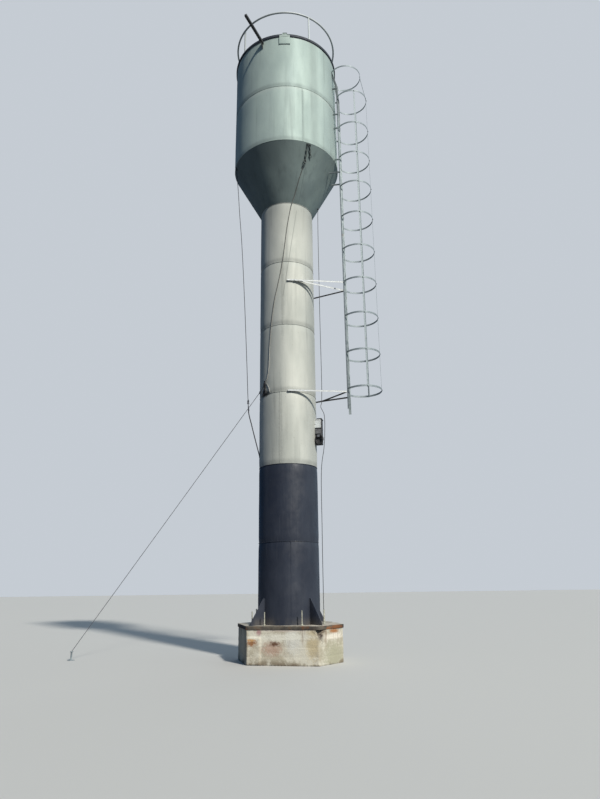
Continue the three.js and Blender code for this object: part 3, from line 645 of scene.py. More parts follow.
def silver_finish(
    name, light, dark, first_seam, upright_welds=(), marks=(), soot_and_shade=(), painted_shadow_patches=(),
):
    """Aluminium paint: cloudy, rain-streaked, dirtier at the welds; over each ring seam a band of
    grime and painted shade, under it a painted highlight.
    """
    finish, tree = new_finish(name, 0.8, 0.8)
    cloudy = fade(tree, grain(tree, 1.6, stretch=(1, 1, 0.4), detail=5), 0.3, 0.7)
    tone = mix_tones(tree, cloudy, dark, light)
    streaks = grain(tree, 7.5, stretch=(1, 1, 0.05), detail=4, shift=(5, 1, 0))
    dirt_and_shade = tuple(0.62 * part for part in dark)
    tone = mix_tones(tree, fade(tree, streaks, 0.52, 0.74, 0, 0.4), tone, dirt_and_shade)
    height = place_part(tree, "Z")
    over = sum_up(tree, "SUBTRACT", height, first_seam)
    over = sum_up(tree, "FLOORED_MODULO", over, COURSE_HEIGHT)
    patchy = fade(tree, grain(tree, 5.0, detail=4, shift=(1, 1, 9)), 0.3, 0.65, 0.5, 1.0)
    # Over each ring seam: grime and painted shade of the drawn-in sheet. Just under each seam: a
    # painted highlight.
    seam_grime_and_shade = sum_up(tree, "MULTIPLY", fade(tree, over, 0.13, 0.05, 0, 0.42), patchy)
    tone = mix_tones(tree, seam_grime_and_shade, tone, dirt_and_shade)
    painted_highlight_under_seam = sum_up(tree, "MULTIPLY", fade(tree, over, 1.36, 1.47, 0, 0.3), patchy)
    tone = mix_tones(tree, painted_highlight_under_seam, tone, (0.56, 0.59, 0.55))
    for degrees, low, high in upright_welds:
        seam = round_place(COLUMN_RADIUS, degrees, (low + high) / 2)
        line = stained(tree, seam, (0.05, 0.10, (high - low) * 0.9), 0.35)
        tone = mix_tones(tree, line, tone, dirt_and_shade)
    for top, foot, width, strength in marks:
        tone = mix_tones(tree, drawn_line(tree, top, foot, width, strength), tone, dirt_and_shade)
    tone = darkened_along(tree, tone, soot_and_shade, dirt_and_shade)
    # Painted shadows: darker places where shade falls, as under the knot.
    for centre, size, strength in painted_shadow_patches:
        tone = mix_tones(tree, stained(tree, centre, size, strength), tone, (0.10, 0.11, 0.11))
    specks = fade(tree, grain(tree, 55, detail=2, shift=(4, 4, 4)), 0.70, 0.76, 0, 0.6)
    tone = mix_tones(tree, specks, tone, (0.16, 0.10, 0.06))
    gloss = fade(tree, grain(tree, 3.0, stretch=(1, 1, 0.2), shift=(0, 8, 0)), 0.3, 0.7, 0.77, 0.85)
    wobble = grain(tree, 1.1, stretch=(1, 1, 0.25), detail=2, shift=(2, 7, 3))
    orange_peel = sum_up(tree, "MULTIPLY", grain(tree, 40, detail=3), 0.4)
    return coat(finish, tone, sum_up(tree, "ADD", wobble, orange_peel), 0.004, gloss)


# Painted shade: the column darkens towards the cone above it, and a painted shadow lies under the
# knot at the ring seam.
column_silver = silver_finish(
    "column_silver", (0.68, 0.685, 0.63), (0.56, 0.575, 0.53), first_seam=PLATE_TOP,
    upright_welds=((-99.6, 6.66, 8.16), (-105, 3.66, 5.16)),
    marks=(((-67.8, 9.5), (-99, 7.3), 0.022, 0.7),), soot_and_shade=(("Z", 8.4, 9.7, 0.35),),
    painted_shadow_patches=((round_place(COLUMN_RADIUS, -142, 5.165), (0.24, 0.19, 0.07), 1.0),),
)
for number, degrees in enumerate(UPRIGHT_WELD_ANGLES, 1):
    low = PLATE_TOP + (number - 1) * COURSE_HEIGHT
    high = low + COURSE_HEIGHT
    sheet = rolled_sheet(COLUMN_RADIUS, low, high, COLUMN_WALL, drawn_low=number > 1)
    welds = [
        ring_bead("ring_seam", COLUMN_RADIUS - 0.006, high, SEAM_BEAD),
        upright_seam(COLUMN_RADIUS, degrees, low, high),
    ]
    if number == 1:
        welds.append(ring_bead("foot_seam", COLUMN_RADIUS + 0.004, PLATE_TOP + 0.004, 0.008))
    course = weld_together(f"rolled_course_{number}", sheet, *welds)
    if number <= TARRED_COURSES:
        give(course, bitumen, "bitumen", f"column_course_{number}")
    else:
        give(course, column_silver, "silver_paint", f"column_course_{number}")

# The cone: the tank's bottom, rolled from two halves of sheet and welded to the column and
# the tank. It hangs in shade; its paint is a darker, greener copy of the tank's, as painted shade.

TANK_RADIUS = 1.24
CONE_FOOT = 9.66
TANK_FLOOR = 10.85
TANK_WALL = 0.005
HALF_SEAM_ANGLES = (20, -160)


def cone_radius(height):
    share = (height - CONE_FOOT) / (TANK_FLOOR - CONE_FOOT)
    return COLUMN_RADIUS + (TANK_RADIUS - COLUMN_RADIUS) * share


def on_cone(degrees, height, proud=0.014):
    return round_place(cone_radius(height) + proud, degrees, height)


# Painted shade: darker towards the left and towards the tank; the roof shares this darker paint.
shade_darkened_silver = silver_finish(
    "shade_darkened_silver", (0.37, 0.445, 0.42), (0.26, 0.32, 0.315), first_seam=CONE_FOOT - 0.14,
    marks=(((-64.5, 10.35), (-63.5, 9.66), 0.016, 0.5),),
    soot_and_shade=(("X", 0.7, -0.15, 0.45), ("Z", 10.2, 10.7, 0.3)),
)
bpy.ops.mesh.primitive_cone_add(
    vertices=160, radius1=COLUMN_RADIUS, radius2=TANK_RADIUS, depth=TANK_FLOOR - CONE_FOOT,
    end_fill_type="NOTHING", location=(0, 0, (TANK_FLOOR + CONE_FOOT) / 2),
)
cone = settle("cone_sheet")
cut_rows(cone, 19, lambda middle, along: abs(along.z) > 0.5)
roughen(cone, 0.5, 0.008)
draw_in(cone, lambda spot, facing: spot.z < CONE_FOOT + 0.01, 0.993)
apply_modifier(cone, "SOLIDIFY", thickness=TANK_WALL, offset=-1)
smooth_up(cone, 40)
half_seams = [
    laid_bead("half_seam", on_cone(degrees, 9.68, -0.002), on_cone(degrees, 10.83, -0.002), 0.0045)
    for degrees in HALF_SEAM_ANGLES
]
cone = weld_together("welded_cone", cone, *half_seams)
give(cone, shade_darkened_silver, "shaded_paint", "tank_cone")

# The tank's wall: two courses of 5 mm sheet, 2.48 m across, rolled and welded as the column is
# and painted with the same aluminium paint, which looks a little greener up here.

TANK_TOP = 13.85
TANK_WELD_ANGLES = (-72.2, 108)

tank_silver = silver_finish(
    "tank_silver", (0.53, 0.615, 0.57), (0.45, 0.53, 0.50), first_seam=TANK_FLOOR,
    marks=(((-57.5, 13.84), (-58.5, 10.9), 0.14, 0.35), ((-72, 12.3), (-72, 10.9), 0.04, 0.35)),
)
for number, node in enumerate(("tank_lower_course", "tank_upper_course")):
    low = TANK_FLOOR + number * COURSE_HEIGHT
    high = low + COURSE_HEIGHT
    sheet = rolled_sheet(TANK_RADIUS, low, high, TANK_WALL, drawn_high=number == 0)
    welds = [upright_seam(TANK_RADIUS, TANK_WELD_ANGLES[number], low, high)]
    if number == 0:
        welds.append(ring_bead("cone_seam", TANK_RADIUS - 0.003, low, 0.0045))
        welds.append(ring_bead("ring_seam", TANK_RADIUS - 0.006, high, 0.0055))
    course = weld_together(f"rolled_{node}", sheet, *welds)
    give(course, tank_silver, "silver_paint", node)

# The roof: a low cone of sheet in eight lapped sectors, whose edge stands out past the wall.
# Under the edge a flat steel ring stiffens the top of the wall; it is painted nearly black, partly
# as dark paint and partly as painted shade under the roof's edge.

ROOF_RADIUS = 1.264
ROOF_FOOT = TANK_TOP + 0.008
ROOF_RISE = 0.19
ROOF_SECTORS = 8
RING_RADIUS = 1.262
RING_LEVEL = 13.8236
RING_HEIGHT = 0.052
RING_WALL = 0.0215

bpy.ops.mesh.primitive_cone_add(
    vertices=128, radius1=ROOF_RADIUS, radius2=0, depth=ROOF_RISE, end_fill_type="NOTHING",
    location=(0, 0, ROOF_FOOT + ROOF_RISE / 2),
)
roof = settle("roof_sheet")
cut_rows(roof, 9, lambda middle, along: abs(along.z) > 0.5 * ROOF_RISE)
roughen(roof, 0.4, 0.006)
pick(roof, "EDGE", lambda middle, along: middle.z < ROOF_FOOT + 0.006)
bpy.ops.mesh.extrude_region_move(TRANSFORM_OT_translate={"value": (0, 0, -0.006)})
bpy.ops.mesh.extrude_region_move(TRANSFORM_OT_translate={"value": (0, 0, 0)})
bpy.ops.transform.resize(value=(0.97, 0.97, 1), center_override=(0, 0, TANK_TOP))
close_up()
smooth_up(roof, 40)
laps = []
for number in range(ROOF_SECTORS):
    degrees = 360 / ROOF_SECTORS * (number + 0.5)
    head = round_place(0.05, degrees, ROOF_FOOT + 0.183)
    laps.append(laid_bead("lap", head, round_place(1.25, degrees, ROOF_FOOT + 0.003), 0.007))
bpy.ops.mesh.primitive_uv_sphere_add(
    segments=24, ring_count=8, radius=0.09, location=(0, 0, ROOF_FOOT + ROOF_RISE - 0.012),
    scale=(1, 1, 0.16),
)
crown = settle("crown")
smooth_up(crown, 60)
roof = weld_together("lapped_roof", roof, crown, *laps)
give(roof, shade_darkened_silver, "shaded_paint", "tank_roof")

# The ring's near-black finish is partly painted shade under the roof's edge.
rim = round_bar(
    "dark_roof_rim", RING_RADIUS, RING_HEIGHT, (0, 0, RING_LEVEL), sides=160, ends="NOTHING",
)
apply_modifier(rim, "SOLIDIFY", thickness=RING_WALL, offset=-1)
round_edges(rim, 0.003)
smooth_up(rim, 30)
give(rim, bitumen_finish("dull_rim_black", 0.7), "bitumen", "roof_rim")

# The hatch: a round neck on the roof beside the ladder's head, shut by a pressed lid with a
# turned-down edge, a bent grip, a hinge at the back and a latch in front.

HATCH_PLACE = Vector((0.64, -0.15, 0))
NECK_RADIUS = 0.3
LID_RADIUS = 0.335
NECK_TOP = 14.18
NECK_FOOT = 13.93


def at_hatch(across, along, over):
    """A place given from the middle of the neck's upper edge."""
    return HATCH_PLACE + Vector((across, along, NECK_TOP + over))


neck = round_bar("neck", NECK_RADIUS, 0.245, at_hatch(0, 0, -0.1225), sides=64, ends="NOTHING")
shift_part(neck, lambda spot, facing: spot.z < NECK_TOP - 0.2, (0, 0, -0.03))
apply_modifier(neck, "SOLIDIFY", thickness=0.006, offset=-1)
neck_bead = ring_bead("neck_seam", NECK_RADIUS + 0.002, NECK_FOOT, 0.007)
neck_bead.data.transform(
    Matrix.Translation(HATCH_PLACE + Vector((0, 0, NECK_FOOT + 0.007)))
    @ Matrix.Rotation(atan2(ROOF_RISE, ROOF_RADIUS), 4, "Y")
    @ Matrix.Translation((0, 0, -NECK_FOOT))
)
lid = round_bar("lid", LID_RADIUS, 0.043, at_hatch(0, 0, -0.0085), sides=64)
pick(lid, "FACE", lambda middle, facing: facing.z > 0.9)
bpy.ops.mesh.inset(thickness=0.045)
bpy.ops.transform.translate(value=(0, 0, 0.006))
bpy.ops.mesh.inset(thickness=0.12)
bpy.ops.transform.translate(value=(0, 0, 0.004))
close_up()
sink_face(lid, lambda middle, facing: facing.z < -0.9, 0.012, (0, 0, 0.028))
round_edges(lid, 0.004, segments=3)
grip = bent_ring(
    "grip", 0.075, 0.008, at_hatch(0, 0, 0.016), (48, 12), (pi / 2, 0, 0), (1, 0.55, 1),
)
hinge = round_bar("hinge", 0.012, 0.16, at_hatch(0, 0.345, -0.008), (0, pi / 2, 0), sides=16)
latch = cut_block("latch", at_hatch(0, -0.338, -0.03), (0.04, 0.012, 0.075))
round_edges(latch, 0.003)
hatch = weld_together("lidded_hatch", lid, neck, neck_bead, grip, hinge, latch)
smooth_up(hatch, 35)
give(hatch, tank_silver, "silver_paint", "roof_hatch")

# The rail: one ring of 42 mm tube on four short posts, each welded to a small foot plate that
# lies on the roof's edge.

RAIL_POST_ANGLES = (-63, -144, 117, 36)
RAIL_RADIUS = 1.235
RAIL_LEVEL = 14.557
RAIL_FOOT = 13.862
RAIL_TUBE = 0.021
POST_RADIUS = 0.018

rail_pieces = [bent_ring("rail_ring", RAIL_RADIUS, RAIL_TUBE, (0, 0, RAIL_LEVEL), (128, 14))]
for degrees in RAIL_POST_ANGLES:
    foot = round_place(RAIL_RADIUS, degrees, RAIL_FOOT)
    head = round_place(RAIL_RADIUS, degrees, RAIL_LEVEL - 0.01)
    rail_pieces.append(round_bar("post", POST_RADIUS, head.z - foot.z, (foot + head) / 2))
    plate_place = round_place(RAIL_RADIUS - POST_RADIUS, degrees, RAIL_FOOT + 0.004)
    foot_plate = cut_block(
        "foot_plate", plate_place, (0.08, 0.10, 0.012), (0, 0, radians(degrees)),
    )
    round_edges(foot_plate, 0.002)
    rail_pieces.append(foot_plate)
    collar = ring_bead("collar", POST_RADIUS + 0.001, 0.0, 0.004)
    collar.data.transform(Matrix.Translation(foot + Vector((0, 0, 0.012))))
    rail_pieces.append(collar)
rail = weld_together("tube_rail", *rail_pieces)
smooth_up(rail, 35)
# Painted light: the rail's silver is a much lighter copy of the paint; it darkens towards the left.
rail_silver_painted_light = silver_finish(
    "rail_silver_painted_light", (0.86, 0.88, 0.86), (0.66, 0.70, 0.69), first_seam=13.0,
    soot_and_shade=(("X", -0.5, -0.9, 0.9),),
)
give(rail, rail_silver_painted_light, "silver_paint", "roof_rail")

# The lifting lugs: folded boxes of thick plate under the roof's edge, front and back, each
# with a flat ear that stands up past the edge. The crane's sling was hooked on here.

LUG_FACE = 1.28
LUG_THINNED = 0.0396
LUG_SHORTENED = 0.028
LUG_WELD_TOP = 13.77

for node in ("lifting_lug_front", "lifting_lug_rear"):
    lug = merged_copy(node, f"folded_{node}")
    round_edges(lug, 0.009, segments=3)
    low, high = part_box(node)
    inward = 1 if low[1] < 0 else -1
    shift_part(lug, lambda spot, facing: abs(spot.y) > LUG_FACE, (0, inward * LUG_THINNED, 0))
    shift_part(lug, lambda spot, facing: spot.z < low[2] + 0.02, (0, 0, LUG_SHORTENED))
    wall = (high[1] if low[1] < 0 else low[1]) - inward * 0.022
    foot = low[2] + LUG_SHORTENED
    beads = [
        laid_bead("side_bead", Vector((x, wall, foot)), Vector((x, wall, LUG_WELD_TOP)), FILLET)
        for x in (low[0] - 0.001, high[0] + 0.001)
    ]
    lug = weld_together(f"folded_{node}", lug, *beads)
    smooth_up(lug, 35)
    give(lug, tank_silver, "silver_paint", node)

# The outrigger: a square tube welded through the wall under the roof's edge, with a small rib
# under its root. Ropes and cables were led over its end; it is painted nearly black, partly dark
# steel and partly painted shade.


def galvanised_finish(name, light, dark, soot_and_shade=()):
    finish, tree = new_finish(name, 0.62, 0.3)
    spangle = fade(tree, grain(tree, 22, detail=3), 0.35, 0.65)
    tone = mix_tones(tree, spangle, dark, light)
    rust = fade(tree, grain(tree, 5, detail=6, shift=(3, 3, 3)), 0.64, 0.76, 0, 0.6)
    tone = mix_tones(tree, rust, tone, (0.17, 0.095, 0.05))
    tone = darkened_along(tree, tone, soot_and_shade, (0.075, 0.085, 0.09))
    return coat(finish, tone, grain(tree, 120, detail=2), 0.0006)


# Nearly black steel, partly painted shade: for the outrigger and the brackets' side bars.
dark_steel_and_painted_shade = galvanised_finish("darkened_steel", (0.075, 0.075, 0.075), (0.03, 0.031, 0.034))
outrigger = merged_copy("outrigger", "square_outrigger")
round_edges(outrigger, 0.003)
smooth_up(outrigger, 30)
give(outrigger, dark_steel_and_painted_shade, "bare_steel", "outrigger")

# The ladder: two stiles of 50 mm angle with twenty round rungs, held off the tank's wall by
# flat bars. All of it is galvanised and has gone dull. The stiles lean in over the last rung.

LADDER_PLACE = Vector((1.285, -0.3, 0))
LADDER_TURN = Matrix.Rotation(radians(-9), 4, "Z")
STANDOFF_LEVELS = (10.55, 10.905, 11.8, 12.21, 12.98)
STILE_FACE = 0.2312


def on_ladder(out, across, level):
    return LADDER_PLACE + LADDER_TURN @ Vector((out, across, level))


def hexagon_bolt(name):
    washer = round_bar("washer", 0.015, 0.003, (0, 0, 0.0015), sides=16)
    head = round_bar("head", 0.0115, 0.009, (0, 0, 0.007), sides=6)
    pick(head, "FACE", lambda middle, facing: facing.z > 0.9)
    bpy.ops.mesh.inset(thickness=0.0015)
    bpy.ops.transform.translate(value=(0, 0, 0.0008))
    close_up()
    return weld_together(name, washer, head)


def pointing(place, direction):
    """Sets a shape that was modelled upright at its place, along its direction."""
    turn = direction.to_track_quat("Z", "Y").to_matrix().to_4x4()
    return Matrix.Translation(place) @ turn


def bolted(name, places):
    """Bolts, each on its place and pointing along its direction, as one piece."""
    bolts = [take_copy(bolt, name, pointing(*place)) for place in places]
    give(weld_together(name, *bolts), galvanised, "bare_steel")


def bolted_stiles(name, out, levels):
    """Bolts through the outer faces of both stiles at each level."""
    bolted(name, [
        (on_ladder(out, side * STILE_FACE, level), LADDER_TURN @ Vector((0, side, 0)))
        for level in levels for side in (-1, 1)
    ])


galvanised = galvanised_finish("dull_galvanised", (0.33, 0.375, 0.385), (0.24, 0.285, 0.30))
ladder_zinc = galvanised_finish(
    "ladder_zinc", (0.38, 0.43, 0.435), (0.27, 0.32, 0.33),
    (("Z", 11.7, 12.7, 0.6), ("X", 1.235, 1.215, 0.35)),
)
bolt = hexagon_bolt("hexagon_bolt")
ladder = merged_copy("ladder", "angle_ladder")
round_edges(ladder, 0.0012, segments=1, angle_limit=1.0)
smooth_up(ladder, 50)
give(ladder, ladder_zinc, "bare_steel", "ladder")
bolted_stiles("standoff_bolts", 0.0, STANDOFF_LEVELS)

# The cage: eleven hoops of flat bar that spring from the stiles, and three upright bars inside
# them. One bolt holds each crossing but the top ones. Each hoop's end is welded to its stile.

HOOP_LEVELS = (5.23, 6.04, 6.88, 7.705, 8.51, 9.35, 10.16, 10.96, 11.8, 12.72, 13.49)
HOOP_RADIUS = 0.3826
HOOP_CENTRE = 0.3054
HOOP_END = 0.2325
HOOP_WELD = 0.019
CAGE_BAR_ANGLES = (-74, 0, 74)
TOP_HOOP_IN = -0.118

for number, level in enumerate(HOOP_LEVELS, 1):
    strap = merged_copy(f"cage_hoop_{number}", f"bent_hoop_{number}")
    round_edges(strap, 0.0012, segments=1, angle_limit=0.9)
    shift = TOP_HOOP_IN if number == len(HOOP_LEVELS) else 0.0
    beads = [
        laid_bead(
            "hoop_bead", on_ladder(shift, side * HOOP_END, level - HOOP_WELD),
            on_ladder(shift, side * HOOP_END, level + HOOP_WELD), 0.0045,
        )
        for side in (-1, 1)
    ]
    strap = weld_together(f"bent_hoop_{number}", strap, *beads)
    smooth_up(strap, 40)
    give(strap, galvanised, "bare_steel", f"cage_hoop_{number}")
crossings = []
for number, degrees in enumerate(CAGE_BAR_ANGLES, 1):
    bar = merged_copy(f"cage_bar_{number}", f"flat_cage_bar_{number}")
    round_edges(bar, 0.0012, segments=1)
    give(bar, galvanised, "bare_steel", f"cage_bar_{number}")
    outward = Vector((cos(radians(degrees)), sin(radians(degrees)), 0))
    for level in HOOP_LEVELS[:-1]:
        place = on_ladder(HOOP_CENTRE, 0, level) + LADDER_TURN @ (outward * (HOOP_RADIUS + 0.0045))
        crossings.append((place, LADDER_TURN @ outward))
bolted("cage_bolts", crossings)

# The brackets: light angle bars that carry the ladder off the column at two levels, welded to
# the column and bolted to the stiles. The front bars are painted lighter, as painted sunlight, and
# the side bars nearly black, as painted shade.

UPPER_LEVEL = 7.69
LOWER_LEVEL = 5.17
NEAR_STILE = on_ladder(-0.010, -0.205, 0)
FAR_STILE = on_ladder(-0.010, 0.205, 0)
FRONT_PAD = Vector((0, -0.622, 0))
SIDE_PAD = Vector((0.43, 0.375, 0))
UPPER_PAD = Vector((0.15, -0.622, 0))
FORK = Vector((0.76, 0.17, 0))


def angle_bar(start, end, level):
    """A level bar of 34 mm angle: one leg hangs at the front, the other lies on top."""
    run = end - start
    middle = (start + end) / 2 + Vector((0, 0, level))
    front = Vector((run.y, -run.x, 0)).normalized() * 0.015
    legs = []
    for place, size in (
        (middle + front, (run.length, 0.004, 0.034)),
        (middle + Vector((0, 0, 0.015)), (run.length, 0.034, 0.004)),
    ):
        legs.append(cut_block("leg", place, size, (0, 0, atan2(run.y, run.x))))
    bar = weld_together("bar", *legs)
    round_edges(bar, 0.001, segments=1)
    return bar


# Painted light: a lighter copy of the zinc for the sunlit front bars.
painted_sunlit_zinc = galvanised_finish("painted_sunlit_zinc", (0.66, 0.68, 0.67), (0.52, 0.54, 0.53))
for node, level, bright_runs, dark_runs in (
    ("upper_bracket", UPPER_LEVEL,
     ((FRONT_PAD, NEAR_STILE), (UPPER_PAD, FAR_STILE)),
     ((SIDE_PAD, FAR_STILE), (NEAR_STILE, FAR_STILE))),
    ("lower_bracket", LOWER_LEVEL,
     ((FRONT_PAD, NEAR_STILE),),
     ((SIDE_PAD, FORK), (FORK, NEAR_STILE), (FORK, FAR_STILE))),
):
    front_bars = [angle_bar(start, end, level) for start, end in bright_runs]
    for degrees in (-91, -88):
        start = round_place(COLUMN_RADIUS + FILLET, degrees, level)
        end = round_place(COLUMN_RADIUS + FILLET, degrees + 4, level)
        front_bars.append(laid_bead("pad_bead", start, end, 0.008))
    front = weld_together(f"angle_{node}", *front_bars)
    smooth_up(front, 40)
    give(front, painted_sunlit_zinc, "bare_steel", node)
    side_bars = [angle_bar(start, end, level) for start, end in dark_runs]
    side = weld_together(f"side_bars_{node}", *side_bars)
    smooth_up(side, 40)
    give(side, dark_steel_and_painted_shade, "bare_steel")
bolted_stiles("bracket_bolts", 0.005, (UPPER_LEVEL, LOWER_LEVEL))
bpy.data.objects.remove(bolt)

# The chain sling: a short-link chain with two legs, hung from a pad under the tank's seam. Its
# long leg ends in the hook that holds the front rope, its short leg hangs free beside it.

CHAIN_WIRE = 0.0065
LINK_BEND = 0.0165
LINK_STRETCH = 0.0145
LINK_PITCH = 0.056
PAD_LEVEL = 10.80
PAD_ANGLE = -66.0
PAD_TIP = 28


def chain_link(name):
    """One link: a ring of rod drawn out until its sides are straight."""
    link = bent_ring(name, LINK_BEND, CHAIN_WIRE, (0, 0, 0), (20, 8), (pi / 2, 0, 0))
    for end in (-1, 1):
        shift_part(link, lambda spot, facing: end * spot.z > 0.001, (0, 0, end * LINK_STRETCH))
    smooth_up(link, 60)
    return link


def hung_chain(name, line):
    """Links on a line, each turned a quarter from the last one."""
    links = []
    run = 0.0
    for here, there in zip(line, line[1:]):
        span = (there - here).length
        while run < span:
            quarter = Matrix.Rotation(pi / 2 * (len(links) % 2), 4, "Z")
            middle = here + (there - here) * (run / span)
            links.append(take_copy(link_pattern, name, pointing(middle, there - here) @ quarter))
            run += LINK_PITCH
        run -= span
    return weld_together(name, *links)


link_pattern = chain_link("link_pattern")
long_leg = hung_chain("chain_long_leg", [
    on_cone(-67.1, 10.79, 0.022), on_cone(-67.1, 10.64, 0.026), on_cone(-66.9, 10.52, 0.026),
])
short_leg = hung_chain("chain_short_leg", [
    on_cone(-64.4, 10.79, 0.022), on_cone(-62.8, 10.68, 0.026), on_cone(-60.8, 10.58, 0.024),
])
bpy.data.objects.remove(link_pattern)
pad = cut_block(
    "chain_pad", round_place(cone_radius(PAD_LEVEL) + 0.014, PAD_ANGLE, PAD_LEVEL + 0.01),
    (0.014, 0.10, 0.035), (0, radians(PAD_TIP), radians(PAD_ANGLE)),
)
round_edges(pad, 0.004)
hook = bent_ring(
    "rope_hook", 0.036, 0.011, on_cone(-66.9, 10.475, 0.028), (32, 10),
    (pi / 2, radians(12), radians(22)), (0.8, 1.25, 1),
)
chain = weld_together("chain_sling", long_leg, short_leg, pad, hook)
smooth_up(chain, 50)
chain_steel = galvanised_finish("chain_steel", (0.13, 0.15, 0.145), (0.07, 0.085, 0.08))
give(chain, chain_steel, "bare_steel")

# The front rope: six-strand steel wire rope from the chain's hook, down over the cone and
# round the column's front to the knot. It is weathered pale below and darker above, from grease and
# painted shade over its sunlit side.

ROPE_RADIUS = 0.008
ROPE_SEAT = 0.6075


def smooth_route(route, step=0.0067):
    """The even line that a rope takes through the given points."""
    points = [Vector(point) for point in route]
    points = [2 * points[0] - points[1], *points, 2 * points[-1] - points[-2]]
    line = []
    for before, start, end, after in zip(points, points[1:], points[2:], points[3:]):
        first, middle, last = (
            (b - a).length ** 0.5 for a, b in ((before, start), (start, end), (end, after))
        )
        pace = (end - start) / middle
        leave = (start - before) / first - (end - before) / (first + middle) + pace
        arrive = pace - (after - start) / (middle + last) + (after - end) / last
        steps = ceil((end - start).length / step)
        for i in range(steps):
            t = i / steps
            line.append(
                start * (2 * t**3 - 3 * t**2 + 1) + end * (3 * t**2 - 2 * t**3)
                + (leave * (t**3 - 2 * t**2 + t) + arrive * (t**3 - t**2)) * middle
            )
    return [*line, points[-2]]


def laid_rope(name, line, radius, strands=6, pitch=0.12, sides=24):
    """A rope along the line, its strands laid round each other. Its own UV map runs round
    the rope and along it, in metres. With no strands it is a round cable."""
    travel = [0.0]
    for here, there in zip(line, line[1:]):
        travel.append(travel[-1] + (there - here).length)
    across = (line[1] - line[0]).orthogonal().normalized()
    corners = []
    for i, middle in enumerate(line):
        ahead = (line[min(i + 1, len(line) - 1)] - line[max(i - 1, 0)]).normalized()
        across = (across - ahead * across.dot(ahead)).normalized()
        side = ahead.cross(across)
        for k in range(sides):
            turn = 2 * pi * k / sides
            reach = radius
            if strands:
                reach *= 0.84 + 0.16 * abs(cos(strands * turn / 2))
                turn += 2 * pi * travel[i] / pitch
            corners.append(middle + (across * cos(turn) + side * sin(turn)) * reach)
    faces = []
    lay = []
    for i in range(len(line) - 1):
        low, high = travel[i], travel[i + 1]
        for k in range(sides):
            here, there = i * sides + k, i * sides + (k + 1) % sides
            faces.append((here, there, there + sides, here + sides))
            lay += [k / sides, low, (k + 1) / sides, low, (k + 1) / sides, high, k / sides, high]
    last = (len(line) - 1) * sides
    faces += [tuple(reversed(range(sides))), tuple(range(last, last + sides))]
    lay += [0.0] * (4 * sides)
    mesh = bpy.data.meshes.new(name)
    mesh.from_pydata(corners, [], faces)
    mesh.uv_layers.new(name="lay").data.foreach_set("uv", lay)
    rope = bpy.data.objects.new(name, mesh)
    bpy.context.scene.collection.objects.link(rope)
    smooth_up(rope, 70)
    return rope


def rope_finish(name, wire, groove, soot_and_shade=()):
    finish, tree = new_finish(name, 0.65, 0.35)
    lay = add_node(tree, "UVMap", uv_map="lay")["UV"]
    round_it = add_node(tree, "SeparateXYZ", {"Vector": lay})["X"]
    strand = sum_up(tree, "PINGPONG", sum_up(tree, "MULTIPLY", round_it, 6.0), 0.5)
    tone = mix_tones(tree, fade(tree, strand, 0.16, 0.42), wire, groove)
    worn = fade(tree, grain(tree, 9, detail=5), 0.5, 0.68, 0, 0.6)
    tone = mix_tones(tree, worn, tone, tuple(0.45 * part for part in wire))
    tone = darkened_along(tree, tone, soot_and_shade, (0.10, 0.095, 0.085))
    wires = add_node(tree, "TexWave", {"Vector": lay, "Scale": 60})["Fac"]
    return coat(finish, tone, wires, 0.0006)


# Above 5.55 m the rope darkens: grease, and painted shade over its sunlit side.
wire_rope = rope_finish(
    "weathered_wire_rope", (0.52, 0.51, 0.48), (0.19, 0.185, 0.17), (("Z", 5.55, 7.2, 0.75),),
)
# Nearly black rope for the side rope: grease, and painted shade of a rope in shade.
dark_rope = rope_finish("dark_wire_rope_painted_shade", (0.10, 0.10, 0.11), (0.03, 0.03, 0.033))
stay_wire = rope_finish("dull_stay_wire", (0.28, 0.285, 0.30), (0.10, 0.10, 0.105))
front_line = smooth_route([
    on_cone(-67.1, 10.46, 0.026),
    on_cone(-68.2, 10.33),
    on_cone(-71.2, 10.08),
    on_cone(-74.3, 9.82),
    round_place(ROPE_SEAT + 0.018, -80.5, 9.56),
    round_place(ROPE_SEAT, -89.5, 9.0),
    round_place(ROPE_SEAT, -99, 8.177),
    round_place(ROPE_SEAT, -107.5, 7.69),
    round_place(ROPE_SEAT, -117.0, 7.25),
    round_place(ROPE_SEAT, -124.5, 6.7),
    round_place(ROPE_SEAT, -128.5, 6.2),
    round_place(ROPE_SEAT, -131, 5.7),
    round_place(ROPE_SEAT + 0.002, -135, 5.5),
    round_place(ROPE_SEAT + 0.004, -140, 5.43),
])
front_rope = laid_rope("laid_front_rope", front_line, ROPE_RADIUS)
give(front_rope, wire_rope, "steel_rope", "front_rope")

# The knot: the rope's tail is wound round its standing part in six tarred coils, and its two
# ends are laid down on the column below it, one to each side.

KNOT_ANGLE = -142
KNOT_LEVEL = 5.36
COIL_THICKNESS = 0.0095
LEFT_END = (
    (-142, 0.05), (-145, 0.015), (-150, -0.02), (-156, -0.055), (-160, -0.085), (-163, -0.13),
)
RIGHT_END = (
    (-141, 0.04), (-137, 0.02), (-134, -0.02), (-131.2, -0.075), (-129.5, -0.13), (-129, -0.17),
)
KNOT_COILS = (
    (-0.003, 0.062, 0.022, 0.2), (0.008, 0.018, 0.026, -0.2), (-0.003, -0.034, 0.03, 0.1),
    (0.004, -0.095, 0.026, -0.1), (0.0, -0.155, 0.036, 0.9), (0.006, -0.165, 0.036, -0.9),
)


